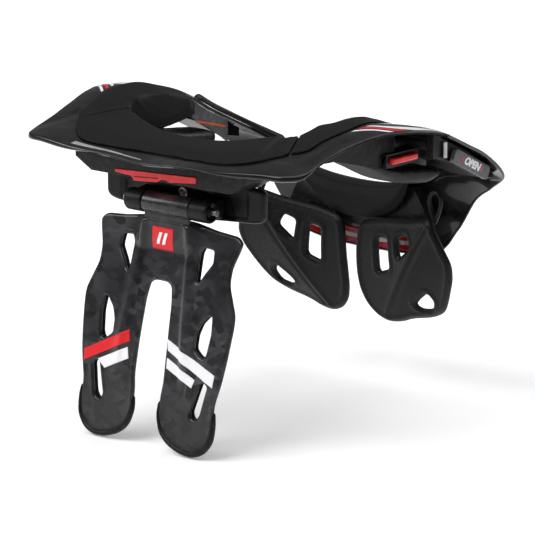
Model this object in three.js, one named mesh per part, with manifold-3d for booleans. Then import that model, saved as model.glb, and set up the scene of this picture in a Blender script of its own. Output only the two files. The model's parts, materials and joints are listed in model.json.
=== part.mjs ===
// Motocross neck brace, millimetres, +Z up.
// The wearer faces +Y and their right side is +X. The origin is the centre of the neck opening, at the
// level where the shoulder pads bear. A rear shell with a folding back strut and a front shell with two
// chest pads meet at a seam over each shoulder, and the front swings open about a pin in the left seam.

import * as THREE from "three";
import { mergeVertices } from "three/addons/utils/BufferGeometryUtils.js";
import Module from "manifold-3d";

const wasm = await Module();
wasm.setup();

// Driving dimensions of the ring
const HALF_WIDTH = 154; // half the width over the shoulders
const REAR_REACH = 148; // neck centre to the rear edge
const FRONT_REACH = 125; // neck centre to the outside of the bib
const CREST_RISE = 50; // shoulder level up to the arch crest
const BIB_DROP = 91; // shoulder level down to the bib's lower edge
const NECK_HALF_WIDTH = 93; // to the shell rim; the pads stand inside it
const NECK_REAR = 90;
const NECK_FRONT = 104;
const SEAM_Y = 18;

// Walls and clearances
const SHELL_WALL = 2.5;
const LIP_DROP = 5;
const LIP_FLARE = 1.25; // how far the lip leans outward
const PAD_THICKNESS = 7;
const ARCH_PAD_THICKNESS = 5;
const WALL_DROP = 25.5; // deepest point of the mesh wall under the neck rim
const CLEARANCE = 0.3;
const UNDER_CLEARANCE = 0.6; // between a shell and what fills the space under it
const SEAM_GAP = 1.2;
const JOINING = 1; // how far joined solids run into each other, and cutting tools past a face

// Folding back strut
const STRUT_HALF_WIDTH = 74;
const STRUT_HEIGHT = 166;
const STRUT_TOP_Z = -25;
const STRUT_TOP_Y = 32.5 - REAR_REACH;
const STRUT_WALL = 3;
const STRUT_LEAN = 0.31; // backward slope at the top
const STRUT_CURVE = 0.00056; // straightens the strut toward its toes
const STRUT_WRAP = 1.2; // forward bend of the outer edges
const STRUT_PAD_THICKNESS = 3.5;
const HINGE_Y = 31 - REAR_REACH;
const HINGE_Z = -14.8;
const BARREL_RADIUS = 8.5;
const BARREL_HALF = 23;
const KNUCKLE_WIDTH = 22;
const HINGE_PIN_RADIUS = 2.5;
const HINGE_RUNNING_GAP = 0.5;

// Hinge plate under the rear shell, with its adjuster
const PLATE_HALF_WIDTH = 78;
const PLATE_FRONT_Y = 51 - REAR_REACH;
const PLATE_THICKNESS = 5;
const PLATE_TOP_Z = 4.5;
const PLATE_DROP = 30;
const CARRIER_HALF_WIDTH = 84;
const CARRIER_FRONT_Y = 52 - REAR_REACH;
const CARRIER_REAR_Y = 18 - REAR_REACH;
const BAR_LENGTH = 83;
const BAR_DEPTH = 6;
const BAR_HEIGHT = 4;
const BAR_OFFSET = -23.5; // the adjuster bar sits left of the middle
const SCREW_RADIUS = 4;

// Shoulder pads
const SHOULDER_PAD_REAR = -74;
const SHOULDER_PAD_FRONT = 56;
const SHOULDER_PAD_X = HALF_WIDTH - 48;
const SHOULDER_PAD_HALF_WIDTH = 18;
const SHOULDER_PAD_DEPTH = 14;

// Side blocks, release buttons and opening levers
const BLOCK_OUTER_X = HALF_WIDTH - 13;
const BLOCK_INNER_X = BLOCK_OUTER_X - 29;
const LEVER_THICKNESS = 4;
const LEVER_HEIGHT = 11;
const LEVER_LENGTH = 43;
const LEVER_TILT = -26; // degrees, rear end up
const LEVER_PIVOT_Y = FRONT_REACH - 47;
const LEVER_PIVOT_Z = -1;
const WINDOW_THICKNESS = 1.2;
const HOUSING_OUTER_X = HALF_WIDTH - 25;
const BUTTON_LENGTH = 30;
const BUTTON_HEIGHT = 5;
const BUTTON_PROUD = 4;
const BUTTON_Z = 20;
const BUTTON_Y = -4;
const PIVOT_X = 2 - HALF_WIDTH;
const PIVOT_PIN_RADIUS = 1.6;
const PIVOT_PIN_LENGTH = 12;
const PANEL_X = NECK_HALF_WIDTH + 5;
const PANEL_WALL = 2.5;

// Front pads
const COLLAR_DROP = 27;
const COLLAR_THICKNESS = 6;
const CHEST_FRAME_REAR = FRONT_REACH - 18.5;
const CHEST_PAD_THICKNESS = 6;
const CHEST_PAD_WIDTH = 108;
const CHEST_PAD_HEIGHT = 98;
const CHEST_PAD_TOP = -46;
const CHEST_PAD_Y = FRONT_REACH - 27; // the pads' middle plane where they stand closest to the chest
const CHEST_PAD_MIDDLE_Z = -80;
const CHEST_PAD_BOW = 0.0038;
const CHEST_PAD_ROUND = 0.0022;
const CHEST_FLAP_SLOPE = 0.45; // how the flap beyond the crease turns forward again
const CREASE_X = 80; // a point on the crease, and the direction across it
const CREASE_Z = -67;
const CREASE_ACROSS = 0.83;
const CREASE_UP = -0.555;
const STUD_RADIUS = 5;
const LOOP_WIRE = 1.6;
const TRIM_WALL = 1;

// Smooth interpolation between the rows of a section table, by its "at" column.
function rowAt(table, at) {
  let i = 0;
  while (i < table.length - 2 && table[i + 1].at < at) i += 1;
  const span = table[i + 1].at - table[i].at;
  const f = (at - table[i].at) / span;
  const slope = (k, key) => {
    const a = table[Math.max(k - 1, 0)];
    const b = table[Math.min(k + 1, table.length - 1)];
    return (b[key] - a[key]) / (b.at - a.at);
  };
  const row = {};
  for (const key of Object.keys(table[0])) {
    const m0 = slope(i, key) * span;
    const m1 = slope(i + 1, key) * span;
    const p0 = table[i][key];
    const p1 = table[i + 1][key];
    row[key] =
      p0 + m0 * f + (3 * (p1 - p0) - 2 * m0 - m1) * f * f + (2 * (p0 - p1) + m0 + m1) * f * f * f;
  }
  row.at = at;
  return row;
}

function steps(from, to, count) {
  return Array.from({ length: count + 1 }, (_, i) => from + ((to - from) * i) / count);
}

// A closed body between two grids of points with the same rows and columns, with walls round the border.
function gridBody(top, bottom) {
  const rows = top.length;
  const columns = top[0].length;
  const positions = [];
  for (const grid of [top, bottom]) {
    for (const row of grid) for (const p of row) positions.push(p.x, p.y, p.z);
  }
  const base = rows * columns;
  const upper = (i, j) => i * columns + j;
  const lower = (i, j) => base + i * columns + j;
  const index = [];
  const quad = (a, b, c, d) => index.push(a, b, c, a, c, d);
  for (let i = 0; i < rows - 1; i += 1) {
    for (let j = 0; j < columns - 1; j += 1) {
      quad(upper(i, j), upper(i + 1, j), upper(i + 1, j + 1), upper(i, j + 1));
      quad(lower(i, j), lower(i, j + 1), lower(i + 1, j + 1), lower(i + 1, j));
    }
    quad(upper(i, 0), lower(i, 0), lower(i + 1, 0), upper(i + 1, 0));
    const last = columns - 1;
    quad(upper(i, last), upper(i + 1, last), lower(i + 1, last), lower(i, last));
  }
  for (let j = 0; j < columns - 1; j += 1) {
    quad(upper(0, j), upper(0, j + 1), lower(0, j + 1), lower(0, j));
    quad(upper(rows - 1, j), lower(rows - 1, j), lower(rows - 1, j + 1), upper(rows - 1, j + 1));
  }
  const geometry = new THREE.BufferGeometry();
  geometry.setAttribute("position", new THREE.Float32BufferAttribute(positions, 3));
  geometry.setIndex(index);
  return facingOut(geometry);
}

// Turns every face over when the signed volume is negative.
function facingOut(geometry) {
  const position = geometry.getAttribute("position");
  const index = geometry.getIndex().array;
  const [a, b, c] = [new THREE.Vector3(), new THREE.Vector3(), new THREE.Vector3()];
  let volume = 0;
  for (let k = 0; k < index.length; k += 3) {
    a.fromBufferAttribute(position, index[k]);
    b.fromBufferAttribute(position, index[k + 1]);
    c.fromBufferAttribute(position, index[k + 2]);
    volume += a.dot(b.cross(c));
  }
  if (volume < 0) {
    for (let k = 0; k < index.length; k += 3) {
      const kept = index[k + 1];
      index[k + 1] = index[k + 2];
      index[k + 2] = kept;
    }
  }
  return geometry;
}

// Unit normals of a grid, on the side that the direction given for each point looks to.
function gridNormals(grid, facing) {
  const rows = grid.length;
  const columns = grid[0].length;
  return grid.map((row, i) =>
    row.map((p, j) => {
      const along = grid[Math.min(i + 1, rows - 1)][j].clone().sub(grid[Math.max(i - 1, 0)][j]);
      const across = row[Math.min(j + 1, columns - 1)].clone().sub(row[Math.max(j - 1, 0)]);
      const normal = along.cross(across).normalize();
      return normal.dot(facing(p)) < 0 ? normal.negate() : normal;
    }),
  );
}

function offsetGrid(grid, normals, distance) {
  return grid.map((row, i) => row.map((p, j) => p.clone().addScaledVector(normals[i][j], distance(i, j))));
}

// A wall on a surface: from the surface plus near to the surface plus far, thinner at its border by edge.
function wallOn(grid, facing, near, far, edge = 1) {
  const normals = gridNormals(grid, facing);
  const lastRow = grid.length - 1;
  const lastColumn = grid[0].length - 1;
  const depth = (i, j) => (i === 0 || j === 0 || i === lastRow || j === lastColumn ? edge : 1);
  return gridBody(
    offsetGrid(grid, normals, (i, j) => near + (far - near) * depth(i, j)),
    offsetGrid(grid, normals, () => near),
  );
}

function solidOf(geometry) {
  const plain = geometry.clone();
  for (const name of ["normal", "uv"]) if (plain.getAttribute(name)) plain.deleteAttribute(name);
  const merged = mergeVertices(plain, 1e-4);
  const vertProperties = new Float32Array(merged.getAttribute("position").array);
  const triVerts = new Uint32Array(merged.getIndex().array);
  return new wasm.Manifold(new wasm.Mesh({ numProp: 3, vertProperties, triVerts }));
}

function geometryOf(solid) {
  const mesh = solid.getMesh();
  const geometry = new THREE.BufferGeometry();
  geometry.setAttribute("position", new THREE.BufferAttribute(new Float32Array(mesh.vertProperties), 3));
  geometry.setIndex(new THREE.BufferAttribute(new Uint32Array(mesh.triVerts), 1));
  return geometry;
}

function joined(...geometries) {
  return geometryOf(geometries.map(solidOf).reduce((a, b) => a.add(b)));
}

function cutBy(geometry, ...tools) {
  return geometryOf(tools.map(solidOf).reduce((solid, tool) => solid.subtract(tool), solidOf(geometry)));
}

function common(a, b) {
  return geometryOf(solidOf(a).intersect(solidOf(b)));
}

// A shape through outline points, anticlockwise as the extrusion of its holes needs.
function shapeOf(points) {
  const outline = points.map(([across, up]) => new THREE.Vector2(across, up));
  return new THREE.Shape(THREE.ShapeUtils.isClockWise(outline) ? outline.reverse() : outline);
}

// Outline points [across, up] extruded along Y from rear to front.
function extrudeY(points, rearY, frontY, holes = []) {
  const shape = shapeOf(points);
  for (const hole of holes) shape.holes.push(new THREE.Path(hole.map(([x, z]) => new THREE.Vector2(x, z))));
  const geometry = new THREE.ExtrudeGeometry(shape, { depth: frontY - rearY, bevelEnabled: false });
  geometry.rotateX(Math.PI / 2);
  geometry.translate(0, frontY, 0);
  return geometry;
}

// Outline points [along Y, up] extruded along X.
function extrudeX(points, lowX, highX) {
  const geometry = new THREE.ExtrudeGeometry(shapeOf(points), { depth: highX - lowX, bevelEnabled: false });
  geometry.applyMatrix4(
    new THREE.Matrix4().makeBasis(
      new THREE.Vector3(0, 1, 0),
      new THREE.Vector3(0, 0, 1),
      new THREE.Vector3(1, 0, 0),
    ),
  );
  geometry.translate(lowX, 0, 0);
  return geometry;
}

function rodX(radius, lowX, highX, y, z, sides = 20) {
  const geometry = new THREE.CylinderGeometry(radius, radius, highX - lowX, sides);
  geometry.rotateZ(Math.PI / 2);
  geometry.translate((lowX + highX) / 2, y, z);
  return geometry;
}

function rodY(radius, rearY, frontY, x, z, sides = 16) {
  const geometry = new THREE.CylinderGeometry(radius, radius, frontY - rearY, sides);
  geometry.translate(x, (rearY + frontY) / 2, z);
  return geometry;
}

function rodZ(radius, lowZ, highZ, x, y, sides = 12) {
  const geometry = new THREE.CylinderGeometry(radius, radius, highZ - lowZ, sides);
  geometry.rotateX(Math.PI / 2);
  geometry.translate(x, y, (lowZ + highZ) / 2);
  return geometry;
}

function boxBetween(x0, x1, y0, y1, z0, z1) {
  const geometry = new THREE.BoxGeometry(x1 - x0, y1 - y0, z1 - z0);
  geometry.translate((x0 + x1) / 2, (y0 + y1) / 2, (z0 + z1) / 2);
  return geometry;
}

// The other side's copy of a geometry, with its faces turned back out.
function mirrored(geometry) {
  const copy = geometry.index ? geometry.clone() : mergeVertices(geometry.clone());
  copy.scale(-1, 1, 1);
  return facingOut(copy);
}

function finish(colour, roughness, metalness = 0) {
  return new THREE.MeshStandardMaterial({ color: colour, roughness, metalness });
}

const carbon = finish(0x17181a, 0.32);
const fabric = finish(0x1d1d1f, 0.95);
const satin = finish(0x26272a, 0.5);
const red = finish(0xd61f26, 0.35);
const steel = finish(0x8c8f93, 0.3, 1);
const grained = finish(0x202124, 0.8);

const brace = new THREE.Group();

function add(name, geometry, material) {
  const mesh = new THREE.Mesh(geometry, material);
  mesh.name = name;
  brace.add(mesh);
}

function addPair(name, geometry, material) {
  add(`${name}_right`, geometry, material);
  add(`${name}_left`, mirrored(geometry), material);
}

// Directions that tell the outside of a surface: up and away from the neck, or up and toward it.
const away = (p) => new THREE.Vector3(p.x, p.y, 0).normalize().multiplyScalar(0.5).setZ(1);
const toward = (p) => new THREE.Vector3(-p.x, -p.y, 0).normalize().multiplyScalar(0.6).setZ(0.8);

// Rear half ring, from the rear middle (0) to the seam (1), in shares of the named sizes: rim is the neck
// edge, edge the outer edge, crown the upward bulge between them, and seam the pull of y to the seam line.
const REAR_SECTIONS = [
  {
    at: 0.0, rimX: 0.0, rimY: -1.0, rimZ: 0.55,
    edgeX: 0.0, edgeY: -1.0, edgeZ: 0.36, crown: 0.05, seam: 0,
  },
  {
    at: 0.14, rimX: 0.36, rimY: -0.985, rimZ: 0.58,
    edgeX: 0.23, edgeY: -1.003, edgeZ: 0.41, crown: 0.05, seam: 0,
  },
  {
    at: 0.28, rimX: 0.66, rimY: -0.92, rimZ: 0.68,
    edgeX: 0.47, edgeY: -0.99, edgeZ: 0.42, crown: 0.04, seam: 0,
  },
  {
    at: 0.4, rimX: 0.86, rimY: -0.83, rimZ: 0.76,
    edgeX: 0.7, edgeY: -0.955, edgeZ: 0.48, crown: 0.03, seam: 0,
  },
  {
    at: 0.46, rimX: 0.92, rimY: -0.77, rimZ: 0.81,
    edgeX: 0.81, edgeY: -0.925, edgeZ: 0.51, crown: 0.04, seam: 0,
  },
  {
    at: 0.53, rimX: 0.97, rimY: -0.69, rimZ: 0.84,
    edgeX: 0.868, edgeY: -0.83, edgeZ: 0.55, crown: 0.05, seam: 0,
  },
  {
    at: 0.6, rimX: 0.99, rimY: -0.58, rimZ: 0.87,
    edgeX: 0.867, edgeY: -0.69, edgeZ: 0.68, crown: 0.07, seam: 0,
  },
  {
    at: 0.68, rimX: 1.0, rimY: -0.44, rimZ: 0.86,
    edgeX: 0.885, edgeY: -0.54, edgeZ: 0.81, crown: 0.09, seam: 0,
  },
  {
    at: 0.78, rimX: 1.0, rimY: -0.274, rimZ: 0.86,
    edgeX: 0.925, edgeY: -0.383, edgeZ: 0.92, crown: 0.1, seam: 0.05,
  },
  {
    at: 0.88, rimX: 1.0, rimY: -0.175, rimZ: 0.76,
    edgeX: 0.965, edgeY: -0.2925, edgeZ: 0.92, crown: 0.1, seam: 0.3,
  },
  { at: 1.0, rimX: 1.0, rimY: 0, rimZ: 0.59, edgeX: 1.0, edgeY: 0, edgeZ: 0.76, crown: 0.09, seam: 1 },
];

// A point of the rear surface. along runs from the left seam (-1) over the rear middle (0) to the right
// seam (1), and share from the neck rim (0) to the outer edge (1).
function rearPoint(along, share) {
  const row = rowAt(REAR_SECTIONS, Math.abs(along));
  const rim = new THREE.Vector3(row.rimX * NECK_HALF_WIDTH, row.rimY * NECK_REAR, row.rimZ * CREST_RISE);
  const edge = new THREE.Vector3(row.edgeX * HALF_WIDTH, row.edgeY * REAR_REACH, row.edgeZ * CREST_RISE);
  for (const p of [rim, edge]) p.y = p.y * (1 - row.seam) + (SEAM_Y - SEAM_GAP / 2) * row.seam;
  const point = rim.lerp(edge, share);
  point.z += 4 * share * (1 - share) * row.crown * CREST_RISE;
  if (along < 0) point.x = -point.x;
  return point;
}

// Front half ring, from the front middle (0) to the seam (1). y is a share of the way from the seam to the
// neck's front or the bib's face, z of the way down from the arch crest to the bib's lower edge.
const FRONT_SECTIONS = [
  {
    at: 0.0, rimX: 0, rimY: 1.0, rimZ: 0.56,
    topX: 0, topY: 0.981, topZ: 0.61,
    edgeX: 0, edgeY: 1.0, edgeZ: 1.0,
  },
  {
    at: 0.12, rimX: 0.32, rimY: 0.994, rimZ: 0.546,
    topX: 0.273, topY: 0.963, topZ: 0.589,
    edgeX: 0.42, edgeY: 0.986, edgeZ: 0.96,
  },
  {
    at: 0.22, rimX: 0.516, rimY: 0.969, rimZ: 0.511,
    topX: 0.429, topY: 0.934, topZ: 0.539,
    edgeX: 0.578, edgeY: 0.972, edgeZ: 0.8,
  },
  {
    at: 0.32, rimX: 0.645, rimY: 0.925, rimZ: 0.447,
    topX: 0.571, topY: 0.906, topZ: 0.468,
    edgeX: 0.7, edgeY: 0.944, edgeZ: 0.61,
  },
  {
    at: 0.42, rimX: 0.753, rimY: 0.8, rimZ: 0.397,
    topX: 0.675, topY: 0.84, topZ: 0.397,
    edgeX: 0.83, edgeY: 0.878, edgeZ: 0.515,
  },
  {
    at: 0.54, rimX: 0.903, rimY: 0.673, rimZ: 0.33,
    topX: 0.766, topY: 0.653, topZ: 0.326,
    edgeX: 0.968, edgeY: 0.756, edgeZ: 0.404,
  },
  {
    at: 0.68, rimX: 0.99, rimY: 0.487, rimZ: 0.262,
    topX: 0.812, topY: 0.447, topZ: 0.234,
    edgeX: 0.994, edgeY: 0.503, edgeZ: 0.262,
  },
  {
    at: 0.84, rimX: 1.01, rimY: 0.253, rimZ: 0.191,
    topX: 0.812, topY: 0.222, topZ: 0.149,
    edgeX: 1.0, edgeY: 0.23, edgeZ: 0.163,
  },
  {
    at: 1.0, rimX: 1.0, rimY: 0, rimZ: 0.106,
    topX: 0.79, topY: 0, topZ: 0.067,
    edgeX: 1.0, edgeY: 0.017, edgeZ: 0.089,
  },
];

// A point of the front surface, a parabola through the rim, the top and the edge of its section. along
// runs from the left seam (-1) over the front middle (0) to the right seam (1).
function frontPoint(along, share) {
  const row = rowAt(FRONT_SECTIONS, Math.abs(along));
  const start = SEAM_Y + SEAM_GAP / 2;
  const place = (width, x, reach, y, z) =>
    new THREE.Vector3(x * width, start + y * (reach - start), CREST_RISE - z * (CREST_RISE + BIB_DROP));
  const rim = place(NECK_HALF_WIDTH, row.rimX, NECK_FRONT, row.rimY, row.rimZ);
  const top = place(HALF_WIDTH, row.topX, FRONT_REACH, row.topY, row.topZ);
  const edge = place(HALF_WIDTH, row.edgeX, FRONT_REACH, row.edgeY, row.edgeZ);
  const point = rim.multiplyScalar((1 - share) * (1 - 2 * share));
  point.addScaledVector(top, 4 * share * (1 - share));
  point.addScaledVector(edge, share * (2 * share - 1));
  if (along < 0) point.x = -point.x;
  return point;
}

function surfaceGrid(point, alongs, shares) {
  return alongs.map((along) => shares.map((share) => point(along, share)));
}

// A body that fills the space from the underside of a shell down, or back, to the place that floor gives.
function filledUnder(grid, floor) {
  const normals = gridNormals(grid, away);
  const top = offsetGrid(grid, normals, () => -(SHELL_WALL + UNDER_CLEARANCE));
  return gridBody(top, top.map((row) => row.map((p) => floor(p.clone()))));
}

// A pad over the rim: from its outer border across the surface to the neck rim, then down its wall.
const PAD_ACROSS = [1, 0.82, 0.55, 0.3, 0.12, 0]; // shares of the way across, and then of the way down
const PAD_DOWN = [0.18, 0.55, 1];
const PAD_EDGE = 0.45; // share of the thickness left at the border
function rimPad(point, alongs, outerShare, drop, thickness) {
  const grid = alongs.map((along) => {
    const across = PAD_ACROSS.map((k) => point(along, k * outerShare(along)));
    const rim = across[across.length - 1];
    for (const k of PAD_DOWN) across.push(rim.clone().setZ(rim.z - k * drop(along)));
    return across;
  });
  return wallOn(grid, toward, CLEARANCE, thickness, PAD_EDGE);
}

// Outline rows in shares, as points; and a right half with its mirrored left half.
const halfOutline = (rows, width, top, height) => rows.map(([x, z]) => [x * width, top - z * height]);
const bothHalves = (half) => [...half, ...half.map(([x, z]) => [-x, z]).reverse()];

// Rear shell, with its outer edge turned down
const SHELL_ROWS = 42;
const shellShares = [0.06, 0.25, 0.5, 0.75, 0.92, 1];
const LIP_CURVE = [
  [0.8, 0.4],
  [1, 1],
]; // shares of the lip's flare and drop
const rearGrid = surfaceGrid(rearPoint, steps(-1, 1, SHELL_ROWS), shellShares).map((row) => {
  const edge = row[row.length - 1];
  const outward = edge.clone().sub(row[row.length - 2]).setZ(0).normalize();
  for (const [flare, drop] of LIP_CURVE) {
    row.push(edge.clone().addScaledVector(outward, flare * LIP_FLARE).setZ(edge.z - drop * LIP_DROP));
  }
  return row;
});
add("rear_shell", wallOn(rearGrid, away, 0, -SHELL_WALL), carbon);

// Front shell: the table over the collar bones and the bib that runs down from it
const frontShares = [0.02, 0.18, 0.36, 0.54, 0.72, 0.88, 1];
const frontGrid = surfaceGrid(frontPoint, steps(-1, 1, SHELL_ROWS), frontShares);
add("front_shell", wallOn(frontGrid, away, 0, -SHELL_WALL), carbon);

// Rear pad, cut back beside its middle where the tether recesses are
const REAR_PAD_BORDER = [
  { at: 0.0, share: 0.8 },
  { at: 0.08, share: 0.8 },
  { at: 0.13, share: 0.68 },
  { at: 0.3, share: 0.68 },
  { at: 0.36, share: 0.78 },
  { at: 0.44, share: 0.66 },
];
const REAR_PAD_END = 0.44;
const REAR_PAD_DROP = 9;
add(
  "rear_pad",
  rimPad(
    rearPoint,
    steps(-REAR_PAD_END, REAR_PAD_END, 22),
    (along) => rowAt(REAR_PAD_BORDER, Math.abs(along)).share,
    () => REAR_PAD_DROP,
    PAD_THICKNESS,
  ),
  fabric,
);

// Arch pads: the border on the shell and the drop of the mesh wall under the rim, in shares
const ARCH_PAD = [
  { at: 0.46, share: 0.5, drop: 0.12 },
  { at: 0.56, share: 0.52, drop: 0.3 },
  { at: 0.62, share: 0.56, drop: 0.62 },
  { at: 0.7, share: 0.6, drop: 0.9 },
  { at: 0.78, share: 0.56, drop: 1.0 },
  { at: 0.88, share: 0.42, drop: 0.75 },
  { at: 1.0, share: 0.26, drop: 0.22 },
];
const archStart = ARCH_PAD[0].at;
const ARCH_END = 0.985;
addPair(
  "arch_pad",
  rimPad(
    rearPoint,
    steps(archStart, ARCH_END, 14),
    (along) => rowAt(ARCH_PAD, along).share,
    (along) => rowAt(ARCH_PAD, along).drop * WALL_DROP,
    ARCH_PAD_THICKNESS,
  ),
  fabric,
);

// Shoulder pads: long lenses under the arches, top and bottom in shares of their depth from the origin level
const SHOULDER_PAD = [
  { at: 0, top: 1.9, bottom: 1.75, width: 0.35, shift: 0.1 },
  { at: 0.12, top: 1.64, bottom: 1.28, width: 0.7, shift: 0 },
  { at: 0.35, top: 1.1, bottom: 0.47, width: 1, shift: -0.05 },
  { at: 0.57, top: 0.82, bottom: -0.04, width: 1, shift: 0 },
  { at: 0.85, top: 0.48, bottom: -0.52, width: 0.88, shift: 0.1 },
  { at: 0.95, top: 0.18, bottom: -0.36, width: 0.6, shift: 0.28 },
  { at: 1, top: -0.04, bottom: -0.2, width: 0.35, shift: 0.4 },
];
const shoulderAt = (y) => (y - SHOULDER_PAD_REAR) / (SHOULDER_PAD_FRONT - SHOULDER_PAD_REAR);
const shoulderTop = (y) => rowAt(SHOULDER_PAD, shoulderAt(y)).top * SHOULDER_PAD_DEPTH;

function shoulderPad() {
  const side = (sign) =>
    steps(0, 1, 13).map((at) => {
      const row = rowAt(SHOULDER_PAD, at);
      const middle = ((row.top + row.bottom) / 2) * SHOULDER_PAD_DEPTH;
      const half = ((row.top - row.bottom) / 2) * SHOULDER_PAD_DEPTH;
      return [-1, -0.9, -0.6, -0.2, 0.2, 0.6, 0.9, 1].map((u) => {
        const round = 0.3 + 0.7 * Math.sqrt(1 - u ** 4);
        return new THREE.Vector3(
          SHOULDER_PAD_X + SHOULDER_PAD_HALF_WIDTH * (row.shift + u * row.width),
          SHOULDER_PAD_REAR + at * (SHOULDER_PAD_FRONT - SHOULDER_PAD_REAR),
          middle + sign * half * round,
        );
      });
    });
  return gridBody(side(1), side(-1));
}
addPair("shoulder_pad", shoulderPad(), grained);

// Arch cores between the shell and the shoulder pad, with the housing of the release button
const coreGrid = surfaceGrid(rearPoint, steps(0.6, 0.9, 8), [0.22, 0.4, 0.58]);
const core = filledUnder(coreGrid, (p) => p.setZ(shoulderTop(p.y) + CLEARANCE));
const HOUSING_WALL = 4;
const HOUSING_REAR = BUTTON_Y - BUTTON_LENGTH / 2 - HOUSING_WALL;
const HOUSING_FRONT = BUTTON_Y + BUTTON_LENGTH / 2 + HOUSING_WALL;
const HOUSING_DEPTH = 14;
const BUTTON_TRAVEL = 2.5;
const housingBottom = shoulderTop(HOUSING_REAR) + CLEARANCE;
const housing = boxBetween(
  HOUSING_OUTER_X - HOUSING_DEPTH,
  HOUSING_OUTER_X,
  HOUSING_REAR,
  HOUSING_FRONT,
  housingBottom,
  BUTTON_Z + BUTTON_HEIGHT,
);
const buttonBox = (grow, inner, outer) =>
  boxBetween(
    inner,
    outer,
    BUTTON_Y - BUTTON_LENGTH / 2 - grow,
    BUTTON_Y + BUTTON_LENGTH / 2 + grow,
    BUTTON_Z - BUTTON_HEIGHT / 2 - grow,
    BUTTON_Z + BUTTON_HEIGHT / 2 + grow,
  );
const buttonInner = HOUSING_OUTER_X - BUTTON_TRAVEL;
const pocket = buttonBox(CLEARANCE, buttonInner - BUTTON_TRAVEL - CLEARANCE, HOUSING_OUTER_X + JOINING);
addPair("arch_core", cutBy(joined(core, housing), pocket), satin);
addPair("release_button", buttonBox(0, buttonInner, HOUSING_OUTER_X + BUTTON_PROUD), red);

// Seam pins that the front swings on and latches to, on brackets under the rear shell
const BRACKET_TOP = 34;
const BRACKET_HEIGHT = 14;
const BRACKET_WIDTH = 6;
const BRACKET_REAR = 6;
const BRACKET_CHEEK = 12; // height of its plain part beside the pin
const bracketOuter = -PIVOT_X - PIVOT_PIN_RADIUS - CLEARANCE;
const bracketInner = bracketOuter - BRACKET_WIDTH;
const bracketBottom = BRACKET_TOP - BRACKET_HEIGHT;
const bracketFill = filledUnder(
  surfaceGrid(rearPoint, steps(0.945, 0.993, 2), [0.84, 0.91, 0.975]),
  (p) => p.setZ(bracketBottom),
);
const bracket = joined(
  common(bracketFill, boxBetween(bracketInner, bracketOuter, BRACKET_REAR, SEAM_Y, 0, CREST_RISE)),
  boxBetween(bracketInner, bracketOuter, BRACKET_REAR, SEAM_Y, bracketBottom, bracketBottom + BRACKET_CHEEK),
);
addPair("pivot_bracket", bracket, satin);
const pinTop = bracketBottom + PIVOT_PIN_LENGTH - CLEARANCE;
addPair("pivot_pin", rodZ(PIVOT_PIN_RADIUS, bracketBottom, pinTop, -PIVOT_X, SEAM_Y), steel);

// Carrier under the rear shell, and the hinge plate with its two outer knuckles
const CARRIER_BOTTOM = PLATE_TOP_Z + CLEARANCE;
const carrier = filledUnder(surfaceGrid(rearPoint, steps(-0.4, 0.4, 16), [0.1, 0.3, 0.5, 0.7, 0.86]), (p) =>
  p.setZ(CARRIER_BOTTOM),
);
const CARRIER_TAPER = 16; // how far its ends slope in toward the bottom
const CARRIER_END = 9; // height of the slope
const carrierOutline = bothHalves([
  [CARRIER_HALF_WIDTH - CARRIER_TAPER, CARRIER_BOTTOM],
  [CARRIER_HALF_WIDTH, CARRIER_BOTTOM + CARRIER_END],
  [CARRIER_HALF_WIDTH, CREST_RISE],
]);
add("rear_carrier", common(carrier, extrudeY(carrierOutline, CARRIER_REAR_Y, CARRIER_FRONT_Y)), satin);

// Hinge plate outline, right half: x in shares of the half width, z in shares of the drop
const PLATE_OUTLINE = [
  [1.0, 0.0],
  [1.0, 0.72],
  [0.96, 0.84],
  [0.87, 0.9],
  [0.65, 0.93],
  [0.3, 1.0],
];
const plateRear = PLATE_FRONT_Y - PLATE_THICKNESS;
const plate = extrudeY(
  bothHalves(halfOutline(PLATE_OUTLINE, PLATE_HALF_WIDTH, PLATE_TOP_Z, PLATE_DROP)),
  plateRear,
  PLATE_FRONT_Y,
);
const knuckle = (side) => {
  const near = side * (BARREL_HALF + HINGE_RUNNING_GAP);
  const far = side * (BARREL_HALF + HINGE_RUNNING_GAP + KNUCKLE_WIDTH);
  const [low, high] = [Math.min(near, far), Math.max(near, far)];
  const half = BARREL_RADIUS / 2;
  const web = boxBetween(low, high, HINGE_Y, plateRear + JOINING, HINGE_Z - half, HINGE_Z + half);
  return joined(rodX(BARREL_RADIUS, low, high, HINGE_Y, HINGE_Z), web);
};
const knuckleEnd = BARREL_HALF + HINGE_RUNNING_GAP + KNUCKLE_WIDTH;
const boreEnd = knuckleEnd + JOINING;
const bore = rodX(HINGE_PIN_RADIUS + HINGE_RUNNING_GAP / 2, -boreEnd, boreEnd, HINGE_Y, HINGE_Z, 16);
add("hinge_plate", cutBy(joined(plate, knuckle(1), knuckle(-1)), bore), satin);
add("hinge_pin", rodX(HINGE_PIN_RADIUS, -knuckleEnd, knuckleEnd, HINGE_Y, HINGE_Z, 16), steel);

const barCentreY = HINGE_Y + BAR_DEPTH / 2;
add(
  "adjuster_bar",
  boxBetween(
    BAR_OFFSET - BAR_LENGTH / 2,
    BAR_OFFSET + BAR_LENGTH / 2,
    barCentreY - BAR_DEPTH / 2,
    barCentreY + BAR_DEPTH / 2,
    CARRIER_BOTTOM - CLEARANCE - BAR_HEIGHT,
    CARRIER_BOTTOM - CLEARANCE,
  ),
  red,
);
const SCREW_X = 2;
const SCREW_LENGTH = 4;
const screwSeat = plateRear - CLEARANCE;
const screw = rodY(SCREW_RADIUS, screwSeat - SCREW_LENGTH, screwSeat, SCREW_X, HINGE_Z + BARREL_RADIUS);
add("lock_screw", screw, steel);

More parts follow.
